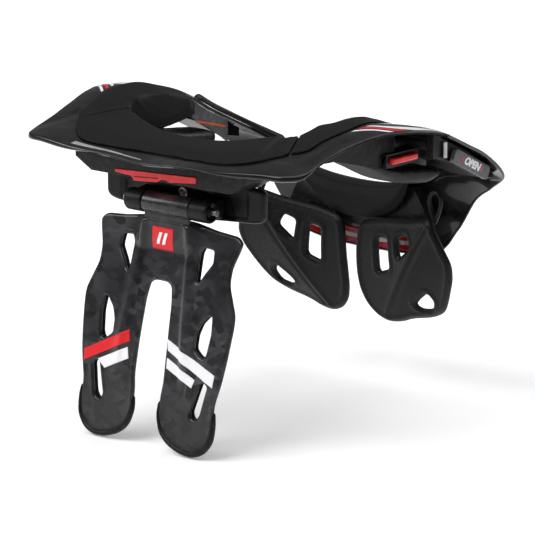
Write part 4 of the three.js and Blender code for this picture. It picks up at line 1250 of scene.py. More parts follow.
@dataclass
class ShoulderPads:
    """The two lens-shaped pads that rest on the shoulders."""

    finishes: dict[str, bpy.types.Material]
    rear: float = -74.0
    front: float = 56.0
    middle_x: float = 106.0
    half_width: float = 18.0
    depth: float = 14.0
    squareness: float = 0.62
    table: Sections = Sections(
        ("top", "bottom", "width", "shift"),
        (
            (0, 1.9, 1.75, 0.35, 0.1),
            (0.12, 1.98, 1.74, 0.7, 0),
            (0.35, 1.32, 0.9, 1, -0.05),
            (0.57, 0.82, -0.04, 1, 0),
            (0.85, 0.48, -0.52, 0.88, 0.1),
            (0.95, 0.18, -0.36, 0.6, 0.28),
            (1, -0.04, -0.2, 0.35, 0.4),
        ),
    )

    def build(self) -> None:
        """Builds both pads as rings of a rounded section carried from rear to front."""
        for side in SIDES:
            at = eased(90, 0.0, 1.0, 0.6)
            row = self.table.at(at)
            ring = circle(56)
            across, rise = (np.sign(ring) * np.abs(ring) ** self.squareness).T
            middle = (row["top"] + row["bottom"]) / 2 * self.depth
            half = (row["top"] - row["bottom"]) / 2 * self.depth
            x = self.middle_x + self.half_width * (row["shift"][:, None] + row["width"][:, None] * across)
            y = np.broadcast_to((self.rear + at * (self.front - self.rear))[:, None], x.shape)
            z = middle[:, None] + half[:, None] * rise
            rings = stacked(x * side.value, y, z)
            piece = ringed(f"shoulder_pad_foam_{side.word}", rings)
            placed(piece, Body.REAR, self.finishes["grained"], "grained", f"shoulder_pad_{side.word}")


@dataclass
class FrontHalf:
    """The front shell with its collar, rim bars, panels and blocks."""

    finishes: dict[str, bpy.types.Material]
    bar_share: float = 0.13
    bar_thickness: float = 4.5
    collar_end: float = 0.32
    collar_share: float = 0.09
    collar_drop: float = 27.0
    collar_cover: Cover = Cover(6.0, 2.4, 4.9, 9.0, 4.0, 1.0)
    collar_columns: tuple[int, int] = (14, 34)

    def build(self) -> None:
        """Builds every piece of the front half but the chest pads."""
        self.shell()
        self.collar()
        for side in SIDES:
            self.rim_bar(side)
            self.hard_parts(side)

    def shell(self) -> None:
        """The table over the collar bones and the bib below it."""
        grid = front_point(eased(281, -1, 1, 0.25)[:, None], eased(60, 0.02, 1.0, 0.5))
        piece = pillow("front_shell_skin", grid, away(grid), -SHELL_WALL, 0.0, 1.25, flat_back=False)
        placed(piece, Body.FRONT, self.finishes["shell"], "carbon", "front_shell")

    def collar(self) -> None:
        """The mesh-covered pad inside the neck's front."""
        along = eased(141, -self.collar_end, self.collar_end, 0.6)
        drop = self.collar_drop * (1 - 0.85 * (along / self.collar_end) ** 2)
        share = np.full(len(along), self.collar_share)
        grid = rim_grid(front_point, along, share, drop, self.collar_columns)
        rim = self.collar_columns[0] - 1
        below = grid[:, rim : rim + 1, 2] - grid[..., 2]
        sunk = np.maximum(0.7 * self.collar_cover.hem(grid), 1 - smooth_step(0.5, 9.0, below))
        material = self.finishes["mesh"]
        self.collar_cover.build("front_collar_cover", grid, sunk, Body.FRONT, material, "front_collar")

    def rim_bar(self, side: Side) -> None:
        """The moulded bar along one side of the front rim."""
        along = eased(121, 0.36, 0.96, 0.6)[:, None]
        grid = front_point(along, eased(16, self.bar_share, 0.0, 0.6))
        grid[..., 0] *= side.value
        name = f"rim_bar_body_{side.word}"
        piece = pillow(name, grid, away(grid), CLEARANCE, self.bar_thickness, 2.4)
        placed(piece, Body.FRONT, self.finishes["satin"], "satin", f"front_rim_bar_{side.word}")

    def hard_parts(self, side: Side) -> None:
        """The panel and block of one side."""
        word = side.word
        for node, name, finish, slot, bevel in (
            ("side_panel", "side_panel_skin", "panel", "grained", 0.3),
            ("side_block", "side_block_body", "satin", "satin", 1.2),
        ):
            piece = node_copy(f"{node}_{word}", f"{name}_{word}", bevel)
            placed(piece, Body.FRONT, self.finishes[finish], slot, f"{node}_{word}")


def mirrored_loop(loop: np.ndarray) -> np.ndarray:
    """The loop with its first axis turned over."""
    return loop * np.array([-1.0, 1.0])


@dataclass
class BackStrut:
    """The folding two-legged strut with its barrel, pad and stripes."""

    finishes: dict[str, bpy.types.Material]
    half_width: float = 74.0
    height: float = 166.0
    top_z: float = -25.0
    top_y: float = -115.5
    wall: float = 3.0
    lean: float = 0.31
    curve: float = 0.00056
    wrap: float = 1.2
    pad_thickness: float = 3.5
    pad_inset: float = 0.07
    leg_centre: float = 0.55
    apron_top: float = HINGE_Z - 6.5
    apron_end: float = -30.0
    apron_foot: float = -52.0
    apron_rear: float = HINGE_Y - 5.2
    fold_width: float = 6.5
    fold_height: float = 2.4

    OUTLINE = (
        (0.3, 0.0), (0.6, 0.02), (0.88, 0.03), (0.95, 0.055), (0.93, 0.09), (0.87, 0.17), (0.87, 0.24),
        (0.93, 0.3), (1.0, 0.37), (1.0, 0.43), (0.97, 0.57), (0.94, 0.66), (0.88, 0.77), (0.89, 0.86),
        (0.87, 0.93), (0.78, 0.98), (0.66, 1.0), (0.51, 0.995), (0.35, 0.97), (0.24, 0.93), (0.18, 0.86),
        (0.18, 0.77), (0.2, 0.71), (0.19, 0.55), (0.17, 0.36), (0.14, 0.29), (0.08, 0.275),
    )  # fmt: skip
    WINDOWS = (
        ((0.61, 0.105), (0.47, 0.1), (0.44, 0.13), (0.45, 0.25), (0.48, 0.255), (0.54, 0.21), (0.62, 0.16)),
        (
            (0.72, 0.385), (0.68, 0.385), (0.59, 0.43), (0.55, 0.48), (0.55, 0.54), (0.62, 0.565),
            (0.68, 0.575), (0.71, 0.55), (0.735, 0.46),
        ),
        ((0.72, 0.675), (0.68, 0.68), (0.59, 0.82), (0.62, 0.845), (0.67, 0.845), (0.71, 0.82), (0.77, 0.69)),
    )  # fmt: skip

    def build(self) -> None:
        """Builds the strut's pieces."""
        self.plate()
        self.pad()
        self.barrel()
        self.prints()
        for side in SIDES:
            self.boot(side)

    def surface(self, x: np.ndarray, z: np.ndarray) -> np.ndarray:
        """The rear face: top_y - lean d + curve d^2 + wrap (x / half width)^4, d below the top."""
        down = self.top_z - z
        return self.top_y - self.lean * down + self.curve * down**2 + self.wrap * (x / self.half_width) ** 4

    def relief(self, x: np.ndarray, z: np.ndarray, distance: np.ndarray) -> np.ndarray:
        """Height of the rear face: a bead by every edge, two folds, and a swell to the barrel."""
        bead = 0.3 * bump(distance, 1.7, 0.8)
        fold_x = 21.0 + (-28.0 - z) * 0.103
        away_from_fold = np.abs(x) - fold_x
        outer = bump(away_from_fold, 0, self.fold_width)
        ridge = np.where(away_from_fold < 0, bump(away_from_fold, 0, 0.4 * self.fold_width), outer)
        reach = smooth_step(-150.0, -112.0, z) * smooth_step(0.3, 3.0, distance)
        lift = np.maximum(self.surface(x, z) - self.apron_y(z), 0.0)
        lift = lift * smooth_step(self.apron_foot, self.apron_foot + 12.0, z)
        return bead + self.fold_height * ridge * reach + lift * np.where(away_from_fold < 0, 1.0, outer)

    def skin(self, x: np.ndarray, z: np.ndarray) -> np.ndarray:
        """Points of the finished rear face at the given x and z."""
        flat = np.stack([x.ravel(), z.ravel()], -1)
        distance = loop_distance(flat, self._loops(0.0, 1.2)).reshape(x.shape)
        return stacked(x, self.surface(x, z) - self.relief(x, z, distance), z)

    def _loops(self, inset: float, spacing: float) -> list[np.ndarray]:
        """The outline and windows in millimetres, with the outline pulled in by inset shares."""
        rows = np.array(self.OUTLINE, float)
        x, z = rows[:, 0].copy(), rows[:, 1].copy()
        x += np.where((z > 0.1) & (x < self.leg_centre), inset / 2, -inset)
        z = np.where(z < 0.1, z + inset / 2, z - np.where(z > 0.9, inset / 2, 0))
        half = np.stack([x * self.half_width, self.top_z - z * self.height], -1)
        outline = np.concatenate([half, mirrored_loop(half)[::-1]])
        loops = [rounded_loop(outline, 4.5, spacing)]
        for window in self.WINDOWS:
            hole = np.array(window) * np.array([self.half_width, -self.height]) + np.array([0, self.top_z])
            loop = rounded_loop(hole, 1.8, spacing)
            loops += [loop, mirrored_loop(loop)]
        return loops

    def plate(self) -> None:
        """The carbon plate."""
        shape = Plate(self._loops(0.0, 1.2), self.surface, 0.0, self.wall, 1.4, 1.5, self.relief)
        placed(shape.build("strut_plate"), Body.STRUT, self.finishes["carbon"], "carbon", "thoracic_strut")

    def barrel(self) -> None:
        """The middle barrel, and the apron that runs straight from under it to the plate."""
        stations = barrel_stations(-BARREL_HALF, BARREL_HALF, BARREL_RADIUS, 1.4)
        rod = turned("strut_barrel", stations, (0.0, HINGE_Y, HINGE_Z), "x", 64)
        placed(rod, Body.STRUT, self.finishes["carbon"], "carbon")
        x = eased(60, -BARREL_HALF + 0.6, BARREL_HALF - 0.6, 0.6)[:, None]
        z = eased(30, self.apron_top, self.apron_end, 0.6)[None, :]
        grid = stacked(x, self.apron_y(z) + 0.45, z)
        apron = pillow("strut_apron", grid, np.array([0, -1.0, -0.3]), -2.2, 0.0, 1.1, flat_back=False)
        placed(apron, Body.STRUT, self.finishes["carbon"], "carbon")

    def apron_y(self, z: np.ndarray) -> np.ndarray:
        """The apron's rear face: the straight line from under the barrel to the plate's face."""
        foot = self.surface(np.zeros(1), np.full(1, self.apron_foot))[0] - 0.4
        share = (z - self.apron_top) / (self.apron_foot - self.apron_top)
        return self.apron_rear + (foot - self.apron_rear) * share

    def prints(self) -> None:
        """The slanted stripes across the legs, and the red tab with its two plain bars."""
        shapes = (
            ("stripe_red", "red_print", ((-67, -131), (-23.5, -109.5), (-21.5, -118), (-66, -139.5))),
            ("stripe_white_left", "white_print", ((-51.5, -136), (-23, -122.5), (-21, -131), (-44, -142))),
            (
                "stripe_white_upper",
                "white_print",
                ((14.5, -110.5), (63.5, -130), (62.5, -139.5), (16.5, -119)),
            ),
            ("stripe_white_lower", "white_print", ((16.5, -124), (45.5, -136), (43, -142.5), (17, -132))),
            ("tab_red", "red_print", ((-13, -31), (7.5, -31), (7.5, -48.5), (-13, -48.5))),
        )
        rearward = np.array([0, -1.0, 0])
        for name, finish, corners in shapes:
            film = printed(name, corners, self.film_skin, rearward, 0.06)
            placed(film, Body.STRUT, self.finishes[finish], "red" if "red" in name else "carbon")
        for k, low in enumerate((-9.0, -3.6)):
            corners = ((low, -44.5), (low + 3.0, -44.5), (low + 6.2, -35), (low + 3.2, -35))
            film = printed(f"tab_bar_{k}", corners, self.film_skin, rearward, 0.26, (24, 14))
            placed(film, Body.STRUT, self.finishes["white_print"], "carbon")

    def film_skin(self, x: np.ndarray, z: np.ndarray) -> np.ndarray:
        """The face that the prints lie on: the plate, or the apron where it stands further back."""
        points = self.skin(x, z)
        y = points[..., 1]
        points[..., 1] = np.where(z > self.apron_end, np.minimum(y, self.apron_y(z)), y)
        return points

    def boot(self, side: Side) -> None:
        """The rubber lip round a leg's toe, carried along the outline where it is below the last window."""
        loop = self._loops(0.0, 1.2)[0] * np.array([side.value, 1.0])
        keep = (loop[:, 0] > 0) & (loop[:, 1] < -157.0)
        points = loop[keep]
        start = int(np.argmax(np.linalg.norm(np.diff(points, axis=0, append=points[:1]), axis=1))) + 1
        points = np.roll(points, -start, axis=0)
        x, z = points[:, 0] * side.value, points[:, 1]
        path = stacked(x, self.surface(x, z) + 1.4, z)
        swell = np.sin(np.pi * np.linspace(0, 1, len(path))) ** 0.35
        profile = circle(16) * np.array([2.5, 3.4]) * (0.25 + 0.75 * swell)[:, None, None]
        piece = sweep(f"toe_lip_{side.word}", path, profile, (0, 1, 0))
        placed(piece, Body.STRUT, self.finishes["rubber"], "fabric")

    def pad(self) -> None:
        """The pad on the strut's front."""
        near = self.wall + CLEARANCE
        loops = self._loops(self.pad_inset, 1.6)
        shape = Plate(loops, self.surface, near, near + self.pad_thickness, 2.6, 2.2)
        piece = shape.build("strut_pad_cover")
        placed(piece, Body.STRUT, self.finishes["mesh"], "fabric", "thoracic_pad")


@dataclass
class ChestPads:
    """The two moulded chest pads with their windows and creases."""

    finishes: dict[str, bpy.types.Material]
    thickness: float = 6.0
    width: float = 108.0
    height: float = 98.0
    top: float = -46.0
    middle_y: float = 98.0
    middle_z: float = -80.0
    bow: float = 0.0038
    rounding: float = 0.0022
    flap: float = 0.45
    upper_growth: float = 1.1
    lower_growth: float = 0.92

    OUTLINE = (
        (0.0556, 0.327), (0.0833, 0.163), (0.315, 0.102), (0.491, 0.0816), (0.648, 0.051), (0.815, 0),
        (0.907, 0.173), (1, 0.367), (0.981, 0.5), (0.889, 0.694), (0.806, 0.827), (0.667, 0.898),
        (0.481, 0.939), (0.37, 0.99), (0.259, 1), (0.167, 0.959), (0.0926, 0.867), (0.0556, 0.745),
        (0.0463, 0.592),
    )  # fmt: skip
    WINDOWS = (
        ((0.269, 0.286), (0.361, 0.265), (0.38, 0.5), (0.278, 0.541)),
        ((0.481, 0.24), (0.574, 0.204), (0.611, 0.286), (0.5, 0.388)),
        ((0.556, 0.796), (0.611, 0.735), (0.713, 0.653), (0.759, 0.724), (0.722, 0.806), (0.611, 0.827)),
    )  # fmt: skip

    @staticmethod
    def past_crease(x: np.ndarray, z: np.ndarray) -> np.ndarray:
        """The distance beyond the slanted crease that runs through x 80, z -67."""
        return (np.abs(x) - 80.0) * 0.83 + (z + 67.0) * -0.555

    def surface(self, x: np.ndarray, z: np.ndarray) -> np.ndarray:
        """The middle plane: bowed in height, rounded across, and turned forward beyond the crease."""
        flap = np.log1p(np.exp(np.clip(self.past_crease(x, z) / 2.0, -30, 30))) * 2.0
        bow = self.bow * (z - self.middle_z) ** 2
        return self.middle_y + bow - self.rounding * np.abs(x) ** 2 + self.flap * flap

    def relief(self, x: np.ndarray, z: np.ndarray, distance: np.ndarray) -> np.ndarray:
        """Height of both faces: a bead round every edge, and a ridge and a groove at the crease."""
        past = self.past_crease(x, z)
        crease = 0.8 * bump(past, -3.0, 2.2) - 0.9 * bump(past, 0.5, 1.6)
        return 0.9 * bump(distance, 3.4, 1.4) + crease * smooth_step(1.0, 5.0, distance)

    def build(self) -> None:
        """Builds both pads."""
        scale, shift = np.array([self.width, -self.height]), np.array([0, self.top])
        loops = [rounded_loop(np.array(self.OUTLINE) * scale + shift, 8.0, 1.3)]
        for window, growth in zip(self.WINDOWS, (self.upper_growth, self.upper_growth, self.lower_growth)):
            hole = np.array(window) * scale + shift
            hole = hole.mean(axis=0) + (hole - hole.mean(axis=0)) * growth
            loops.append(rounded_loop(hole, 3.2, 1.3))
        for side in SIDES:
            mine = loops if side is Side.RIGHT else [mirrored_loop(loop) for loop in loops]
            half = self.thickness / 2
            shape = Plate(mine, self.surface, -half, half, 3.0, 1.7, self.relief, self.relief)
            piece = shape.build(f"chest_pad_foam_{side.word}")
            placed(piece, Body.FRONT, self.finishes["grained"], "grained", f"chest_pad_{side.word}")


def printed(
    name: str,
    corners: Sequence[Sequence[float]],
    surface: Callable[[np.ndarray, np.ndarray], np.ndarray],
    facing: Callable[[np.ndarray], np.ndarray] | np.ndarray,
    lift: float = 0.08,
    count: tuple[int, int] = (60, 14),
) -> bpy.types.Object:
    """A thin printed film on a surface, over the bilinear mix of four corners.

    Args:
        name: the piece's name.
        corners: the corners in the surface's two parameters.
        surface: gives the points of the surface.
        facing: the side that the film lies on, or a function that gives it for each point.
        lift: how far it stands off the surface.
        count: points along and across.

    Returns:
        The film.
    """
    place = bilinear(corners, np.linspace(0, 1, count[0])[:, None], np.linspace(0, 1, count[1])[None])
    grid = surface(place[..., 0], place[..., 1])
    side = facing(grid) if callable(facing) else facing
    return pillow(name, grid, side, lift, lift + FILM_THICKNESS, FILM_RADIUS)


def turned(
    name: str, stations: Sequence[Sequence[float]], centre: Sequence[float], axis: str, sides: int = 48
) -> bpy.types.Object:
    """A body of revolution: rings of a given radius at given places along an axis.

    Args:
        name: the piece's name.
        stations: place along the axis and radius of each ring.
        centre: a point on the axis.
        axis: "x" or "y".
        sides: how many points a ring has.

    Returns:
        The object.
    """
    place, radius = np.array(stations, float).T[..., None]
    c, s = circle(sides).T[:, None] * radius
    across = stacked(place, c, s) if axis == "x" else stacked(c, place, s)
    return ringed(name, across + np.array(centre))


def barrel_stations(low: float, high: float, radius: float, round_by: float) -> list[tuple[float, float]]:
    """Stations of a rod with rounded rims: the radius falls by r - sqrt(r^2 - (r - d)^2) near its ends."""
    d = round_by * (1 - np.cos(np.linspace(0, np.pi / 2, 7)))
    drop = round_by - np.sqrt(np.maximum(round_by**2 - (round_by - d) ** 2, 0))
    place = np.concatenate([low + d, high - d[::-1]])
    return list(zip(place.tolist(), (radius - np.concatenate([drop, drop[::-1]])).tolist()))


@dataclass
class HingeSet:
    """The carrier and hinge plate under the rear shell, with knuckles, adjuster and lock screw."""

    finishes: dict[str, bpy.types.Material]
    half_width: float = 78.0
    top: float = 4.5
    drop: float = 30.0
    front_y: float = -97.0
    thickness: float = 5.0
    bar_front: float = -111.0
    bar_rear: float = -131.2
    recess: float = 2.4

    OUTLINE = ((1.0, 0.0), (1.0, 0.72), (0.96, 0.84), (0.87, 0.9), (0.65, 0.93), (0.3, 1.0))

    def build(self) -> None:
        """Builds the set."""
        self.plate()
        self.knuckles()
        self.adjuster()
        self.screw()
        carrier = node_copy("rear_carrier", "rear_carrier_body", 1.2)
        placed(carrier, Body.REAR, self.finishes["satin"], "satin", "rear_carrier")

    def relief(self, x: np.ndarray, z: np.ndarray, distance: np.ndarray) -> np.ndarray:
        """Height of the rear face: an edge bead, a slanted and a square recess, and raised ends."""
        bead = 0.7 * bump(distance, 2.2, 1.2)
        lean = x + 0.45 * (z + 14.0)
        slot = plateau(lean, 16.0, 48.0, 2.0) * plateau(z, -22.5, -3.5, 2.0)
        left = plateau(x, -60.0, -40.0, 1.5) * plateau(z, -22.5, -3.0, 1.5)
        ends = 0.8 * smooth_step(62.0, 63.5, np.abs(x)) * smooth_step(2.0, 4.0, distance)
        return bead + ends - self.recess * slot - self.recess * left

    def plate(self) -> None:
        """The plate, flat in front, where a back pad lies against it."""
        half = np.array(self.OUTLINE) * np.array([self.half_width, -self.drop]) + np.array([0, self.top])
        loop = rounded_loop(np.concatenate([half, mirrored_loop(half)[::-1]]), 5.0, 1.2)

        def flat(x: np.ndarray, z: np.ndarray) -> np.ndarray:
            """The plate's front plane."""
            return np.full_like(x, self.front_y)

        piece = Plate([loop], flat, -self.thickness, 0.0, 1.3, 1.3, self.relief).build("hinge_plate_body")
        placed(piece, Body.REAR, self.finishes["satin"], "satin", "hinge_plate")

    def knuckles(self) -> None:
        """The two outer knuckles with the webs that carry them."""
        for side in SIDES:
            near, far = BARREL_HALF + 0.5, BARREL_HALF + 0.5 + KNUCKLE_WIDTH
            low, high = sorted((side.value * near, side.value * far))
            centre = (0.0, HINGE_Y, HINGE_Z)
            rod = turned(f"knuckle_{side.word}", barrel_stations(low, high, BARREL_RADIUS, 1.6), centre, "x")
            placed(rod, Body.REAR, self.finishes["rubber"], "satin")
            reach = BARREL_RADIUS * 0.72
            corners = (
                (self.front_y - 4.0, HINGE_Z + reach + 2.5),
                (HINGE_Y, HINGE_Z + reach),
                (HINGE_Y, HINGE_Z - reach),
                (self.front_y - 4.0, HINGE_Z - reach - 1.0),
            )
            web = prism(f"knuckle_web_{side.word}", np.array(corners), low + 1.5, high - 1.5, "x", 1.2)
            placed(web, Body.REAR, self.finishes["rubber"], "satin")

    def adjuster(self) -> None:
        """The red adjuster: a thin rail, a double bar and a thicker end, as one stepped outline, with a black
        strip that paints the shade in the groove between the bars.
        """
        corners = (
            (-43.0, 9.4), (0.0, 11.6), (37.0, 13.4), (37.0, 8.6), (11.0, 6.0), (7.0, 7.2), (2.5, 7.0),
            (-1.0, 4.6), (-24.0, 2.8), (-26.5, 6.2), (-43.0, 7.0),
        )  # fmt: skip
        bar = prism("adjuster_bar_body", np.array(corners), self.bar_rear, self.bar_front, "y", 0.5)
        placed(bar, Body.REAR, self.finishes["red"], "red", "adjuster_bar")
        # painted shade: a black strip just proud of the bar's rear face, where the groove's shadow falls
        groove_shade_outline = np.array(((-24.0, 6.3), (0.0, 8.0), (0.0, 7.3), (-24.0, 5.6)))
        line = prism("adjuster_groove", groove_shade_outline, self.bar_rear - 0.12, self.bar_rear + 1.0, "y", 0.1)
        placed(line, Body.REAR, self.finishes["rubber"], "satin")

    def screw(self) -> None:
        """The lock screw: a chamfered head with a round socket."""
        rear = self.front_y - self.thickness - CLEARANCE
        stations = ((0.0, 3.6), (-0.3, 4.0), (-3.4, 4.0), (-4.0, 3.5), (-4.0, 2.1), (-2.2, 2.0), (-2.0, 0.3))
        piece = turned("lock_screw_head", stations, (2.0, rear, HINGE_Z + BARREL_RADIUS), "y", 36)
        placed(piece, Body.REAR, self.finishes["steel"], "steel", "lock_screw")


@dataclass
class RingPrints:
    """The stripes printed on the ring, and the bright silver film on its rear edge, partly a print and partly
    a painted highlight of the rim's gloss.
    """

    finishes: dict[str, bpy.types.Material]

    STRIPES = (
        ("white", ((0.716, 0.67), (0.832, 0.985), (0.85, 0.985), (0.73, 0.67))),
        ("red", ((0.744, 0.67), (0.862, 0.985), (0.888, 0.985), (0.76, 0.67))),
        ("band", ((0.775, 0.67), (0.9, 0.985), (0.975, 0.985), (0.79, 0.67))),
    )

    # Corners of the silver band on the rear-left rim: partly a print, partly a painted highlight
    EDGE_FILM = ((-0.02, 0.915), (-0.3, 0.875), (-0.3, 0.95), (-0.02, 0.935))

    def build(self) -> None:
        """Builds the films of both sides, and the one on the rear edge, whose light silver is partly a print
        and partly a painted highlight.
        """
        for side in SIDES:
            for key, corners in self.STRIPES:
                turned_corners = [(a * side.value, s) for a, s in corners]
                film = printed(f"ring_stripe_{key}_{side.word}", turned_corners, rear_point, away)
                finish = "red_print" if key == "red" else "white_print"
                placed(film, Body.REAR, self.finishes[finish], "red" if key == "red" else "carbon")
        # painted highlight: this light silver band on the rear-left rim is partly a print and partly the
        # rim's gloss painted in
        film = printed("edge_film", self.EDGE_FILM, rear_point, away)
        placed(film, Body.REAR, self.finishes["silver_print_and_highlight"], "carbon")


@dataclass
class SideFittings:
    """The ribbed windows, the opening levers with their word, and the line on the side panels."""

    finishes: dict[str, bpy.types.Material]
    outer_x: float = 141.3
    lever_thickness: float = 4.0
    lever_height: float = 11.0
    lever_length: float = 43.0
    tilt: float = -26.0
    pivot_y: float = 78.0
    pivot_z: float = -1.0
    word_size: float = 7.9
    word_weight: float = 0.42

    WINDOW = ((18.0, 31.5), (35.2, 24.5), (32.6, 18.5), (20.6, 26.5))
    PANEL_LINE = ((24.0, 15.9), (60.0, 6.9), (60.0, 4.9), (24.0, 14.1))

    def build(self) -> None:
        """Builds the fittings of both sides."""
        for side in SIDES:
            self.window(side)
            self.lever(side)
            self.panel_line(side)

    def window(self, side: Side) -> None:
        """A ribbed window, with ribs of height 0.35 |sin(12 pi s)| along its length s."""
        s, t = eased(120, 0, 1, 0.3)[:, None], eased(30, 0, 1, 0.5)[None]
        place = bilinear(self.WINDOW, s, t)
        grid = stacked(np.array(self.outer_x * side.value), place[..., 0], place[..., 1])
        facing = np.array([side.value, 0.0, 0.0])
        ribs = 0.35 * np.abs(np.sin(12 * np.pi * s)) * smooth_step(1.0, 2.0, border_distance(grid))
        piece = pillow(f"side_window_ribs_{side.word}", grid, facing, 0.0, 1.2, 0.8, relief=ribs)
        placed(piece, Body.FRONT, self.finishes["grey"], "grained", f"side_window_{side.word}")

    def panel_line(self, side: Side) -> None:
        """The orange line on the panel's face toward the neck."""
        low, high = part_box(f"side_panel_{side.word}")
        face = (low.x if side is Side.RIGHT else high.x) / MM

        def inner(y: np.ndarray, z: np.ndarray) -> np.ndarray:
            """Points of the panel's face."""
            return stacked(np.array(face), y, z)

        inward = np.array([-side.value, 0.0, 0.0])
        film = printed(f"panel_line_{side.word}", self.PANEL_LINE, inner, inward)
        placed(film, Body.FRONT, self.finishes["orange"], "red")

    def lever(self, side: Side) -> None:
        """A lever: a bevelled bar with its word between two small red marks."""
        turn = math.radians(self.tilt)
        along = np.array([math.cos(turn), math.sin(turn)])
        across = np.array([-math.sin(turn), math.cos(turn)])
        pivot = np.array([self.pivot_y, self.pivot_z])
        half = self.lever_height / 2
        reach = -self.lever_length
        local = np.array([[half, -half], [half, half], [reach, half], [reach, -half]])
        outline = rounded_loop(pivot + local[:, :1] * along + local[:, 1:] * across, 2.4, 1.4)
        low, high = sorted((side.value * self.outer_x, side.value * (self.outer_x + self.lever_thickness)))
        body = Body[f"LEVER_{side.name}"]
        bar = prism(f"open_lever_body_{side.word}", outline, low, high, "x", 1.0)
        placed(bar, body, self.finishes["lever"], "satin", f"open_lever_{side.word}")
        face = self.outer_x + self.lever_thickness
        middle = pivot - along * 19.0
        self.word(side, body, middle, along, across, face)
        for k, shift in enumerate((-12.5, 12.0)):
            centre = middle + along * shift
            mark = np.array([[-0.9, -2.2], [0.9, -2.2], [1.5, 2.2], [-0.3, 2.2]])
            flat = centre + mark[:, :1] * along + mark[:, 1:] * across
            ends = sorted((side.value * (face - 0.5), side.value * (face + 0.15)))
            piece = prism(f"lever_mark_{k}_{side.word}", flat, ends[0], ends[1], "x", 0.05, 1)
            placed(piece, body, self.finishes["red_print"], "red")

    def word(
        self, side: Side, body: Body, middle: np.ndarray, along: np.ndarray, across: np.ndarray, face: float
    ) -> None:
        """The word OPEN, slanted, raised 0.2 mm on the lever.

        Args:
            side: the side.
            body: the lever's body.
            middle: the word's middle, in y and z.
            along: the lever's direction.
            across: the direction across it.
            face: how far out its face lies.
        """
        curve = bpy.data.curves.new("word", "FONT")
        curve.body = "OPEN"
        curve.size = self.word_size
        curve.offset = self.word_weight
        curve.shear = 0.3
        curve.extrude = 0.35
        curve.align_x = "CENTER"
        curve.align_y = "CENTER"
        temporary = linked("word", curve)
        graph = bpy.context.evaluated_depsgraph_get()
        mesh = bpy.data.meshes.new_from_object(temporary.evaluated_get(graph))
        bpy.data.objects.remove(temporary)
        points = np.empty(len(mesh.vertices) * 3)
        mesh.vertices.foreach_get("co", points)
        points = points.reshape(-1, 3)
        run = along * side.value
        flat = middle + points[:, :1] * run + points[:, 1:2] * across
        x = side.value * (face - 0.15 + points[:, 2])
        mesh.vertices.foreach_set("co", (stacked(x, flat[:, 0], flat[:, 1]) * MM).astype(np.float32).ravel())
        faced_outward(mesh)
        piece = linked(f"lever_word_{side.word}", mesh)
        placed(piece, body, self.finishes["white_print"], "satin")


@dataclass
class FrontFittings:
    """The strap loops and the trim inside the bib."""

    finishes: dict[str, bpy.types.Material]
    loop_x: float = 88.0
    loop_width: float = 9.0
    loop_height: float = 26.0
    loop_middle: float = -39.5
    band: float = 2.4

    def build(self) -> None:
        """Builds the loops and the trim."""
        for side in SIDES:
            self.loop(side)
        self.trim()
        frame = node_copy("chest_frame", "chest_frame_body", 0.8)
        placed(frame, Body.FRONT, self.finishes["satin"], "satin", "chest_frame")

    def loop(self, side: Side) -> None:
        """A rubber loop: a closed ring, narrower below, with a flattened section."""
        low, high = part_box(f"strap_loop_{side.word}")
        c, s = circle(96).T
        inset = self.band / 2
        x = self.loop_x + (self.loop_width - inset) * c * (0.62 + 0.38 * s)
        z = self.loop_middle + (self.loop_height / 2 - inset) * s
        y = np.full_like(x, (low.y + high.y) / 2 / MM)
        profile = circle(14) * np.array([1.5, 1.75])
        piece = sweep(f"strap_loop_ring_{side.word}", stacked(x * side.value, y, z), profile, (0, 1, 0), True)
        placed(piece, Body.FRONT, self.finishes["rubber"], "satin", f"strap_loop_{side.word}")

    def trim(self) -> None:
        """The band inside the bib's lower edge, red with a white line along it."""
        near = SHELL_WALL + CLEARANCE
        grid = front_point(eased(90, -0.13, 0.13, 0.5)[:, None], eased(20, 0.88, 0.98, 0.5))
        band = pillow("trim_band_strip", grid, -away(grid), near, near + 1.0, 0.5)
        placed(band, Body.FRONT, self.finishes["red"], "red", "trim_band")
        line = front_point(eased(90, -0.128, 0.128, 0.5)[:, None], eased(10, 0.918, 0.945, 0.5))
        near += 1.02
        white = pillow("trim_line", line, -away(line), near, near + FILM_THICKNESS, 0.1)
        placed(white, Body.FRONT, self.finishes["white_print"], "red")


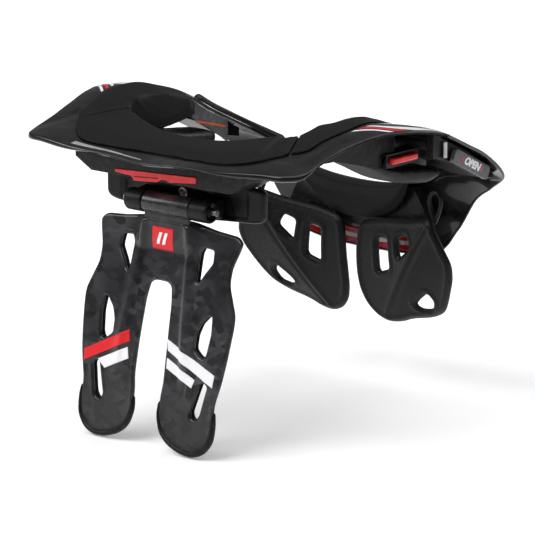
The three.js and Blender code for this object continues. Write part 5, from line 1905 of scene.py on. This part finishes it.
@dataclass
class Studio:
    """A pale floor, soft lights and the camera at the photograph's angle."""

    azimuth: float = 40.0
    elevation: float = 13.5
    distance: float = 2.6
    focal: float = 228.3
    shift_left: float = 0.003448
    shift_down: float = 0.08161
    floor_z: float = -0.1938
    floor_reach: float = 6.0
    floor_glow: float = 0.22
    surround: float = 0.12

    def build(self) -> None:
        """Makes the floor, the lights and the camera."""
        self._camera()
        self._floor()
        self._lights()

    def _camera(self) -> None:
        """Places the camera on the line that puts the origin where the photograph has it."""
        a, e = math.radians(self.azimuth), math.radians(self.elevation)
        back = Vector((math.sin(a) * math.cos(e), -math.cos(a) * math.cos(e), math.sin(e)))
        right = Vector((math.cos(a), math.sin(a), 0))
        up = back.cross(right)
        data = bpy.data.cameras.new("camera")
        data.lens = self.focal
        data.sensor_width = 36.0
        camera = linked("camera", data)
        place = back * self.distance - right * self.shift_left - up * self.shift_down
        camera.matrix_world = Matrix.Translation(place) @ Matrix((right, up, back)).transposed().to_4x4()
        bpy.context.scene.camera = camera

    def _floor(self) -> None:
        """A wide pale floor."""
        mesh = bpy.data.meshes.new("floor")
        reach = self.floor_reach
        corners = [(-reach, -reach), (reach, -reach), (reach, reach), (-reach, reach)]
        mesh.from_pydata([(x, y, self.floor_z) for x, y in corners], [], [(0, 1, 2, 3)])
        floor = linked("floor", mesh)
        material = bpy.data.materials.new("floor")
        material.use_nodes = True
        shader = material.node_tree.nodes["Principled BSDF"]
        shader.inputs["Base Color"].default_value = (0.86, 0.86, 0.86, 1)
        shader.inputs["Roughness"].default_value = 0.9
        shader.inputs["Emission Color"].default_value = (1, 1, 1, 1)
        shader.inputs["Emission Strength"].default_value = self.floor_glow
        floor.data.materials.append(material)

    def _lights(self) -> None:
        """A dim surround, two wide soft suns that light the floor evenly, and panels for the highlights."""
        scene = bpy.context.scene
        scene.view_settings.view_transform = "Standard"
        world = bpy.data.worlds.new("surround")
        world.use_nodes = True
        background = world.node_tree.nodes["Background"]
        background.inputs["Color"].default_value = (1, 1, 1, 1)
        background.inputs["Strength"].default_value = self.surround
        scene.world = world
        for name, toward_light, strength, angle in (
            ("key", (-0.25, -0.75, 0.95), 1.9, 40),
            ("overhead", (0.1, 0.15, 1.0), 1.5, 70),
        ):
            data = bpy.data.lights.new(name, "SUN")
            data.energy = strength
            data.angle = math.radians(angle)
            self._aimed(name, data, toward_light)
        for name, place, size, power in (
            ("left", (-1.5, -1.1, 0.9), 0.7, 9),
            ("back", (0.2, 1.9, 0.9), 1.0, 12),
        ):
            data = bpy.data.lights.new(name, "AREA")
            data.size = size
            data.energy = power
            self._aimed(name, data, place)

    def _aimed(self, name: str, data: bpy.types.Light, place: Sequence[float]) -> None:
        """Puts a light at a place, turned to the origin."""
        lamp = linked(name, data)
        turn = Vector(place).to_track_quat("Z", "Y").to_matrix().to_4x4()
        lamp.matrix_world = Matrix.Translation(place) @ turn


def main() -> None:
    """Builds the brace and the studio."""
    logging.basicConfig(level=logging.INFO, format="%(message)s")
    Studio().build()
    effects = Effects()
    finishes = {key: finish.material(effects) for key, finish in FINISHES.items()}
    for part in (
        RearHalf(finishes),
        RingPrints(finishes),
        ShoulderPads(finishes),
        HingeSet(finishes),
        FrontHalf(finishes),
        SideFittings(finishes),
        FrontFittings(finishes),
        BackStrut(finishes),
        ChestPads(finishes),
    ):
        part.build()
    slots = {row["node"]: row["material_slot"] for row in FRAME["record"]["subparts"]}
    for name, node in FRAME["nodes"].items():
        key = {"fabric": "mesh"}.get(slots[name], slots[name])
        node.data.materials.clear()
        node.data.materials.append(finishes[key])


if __name__ == "__main__":
    main()
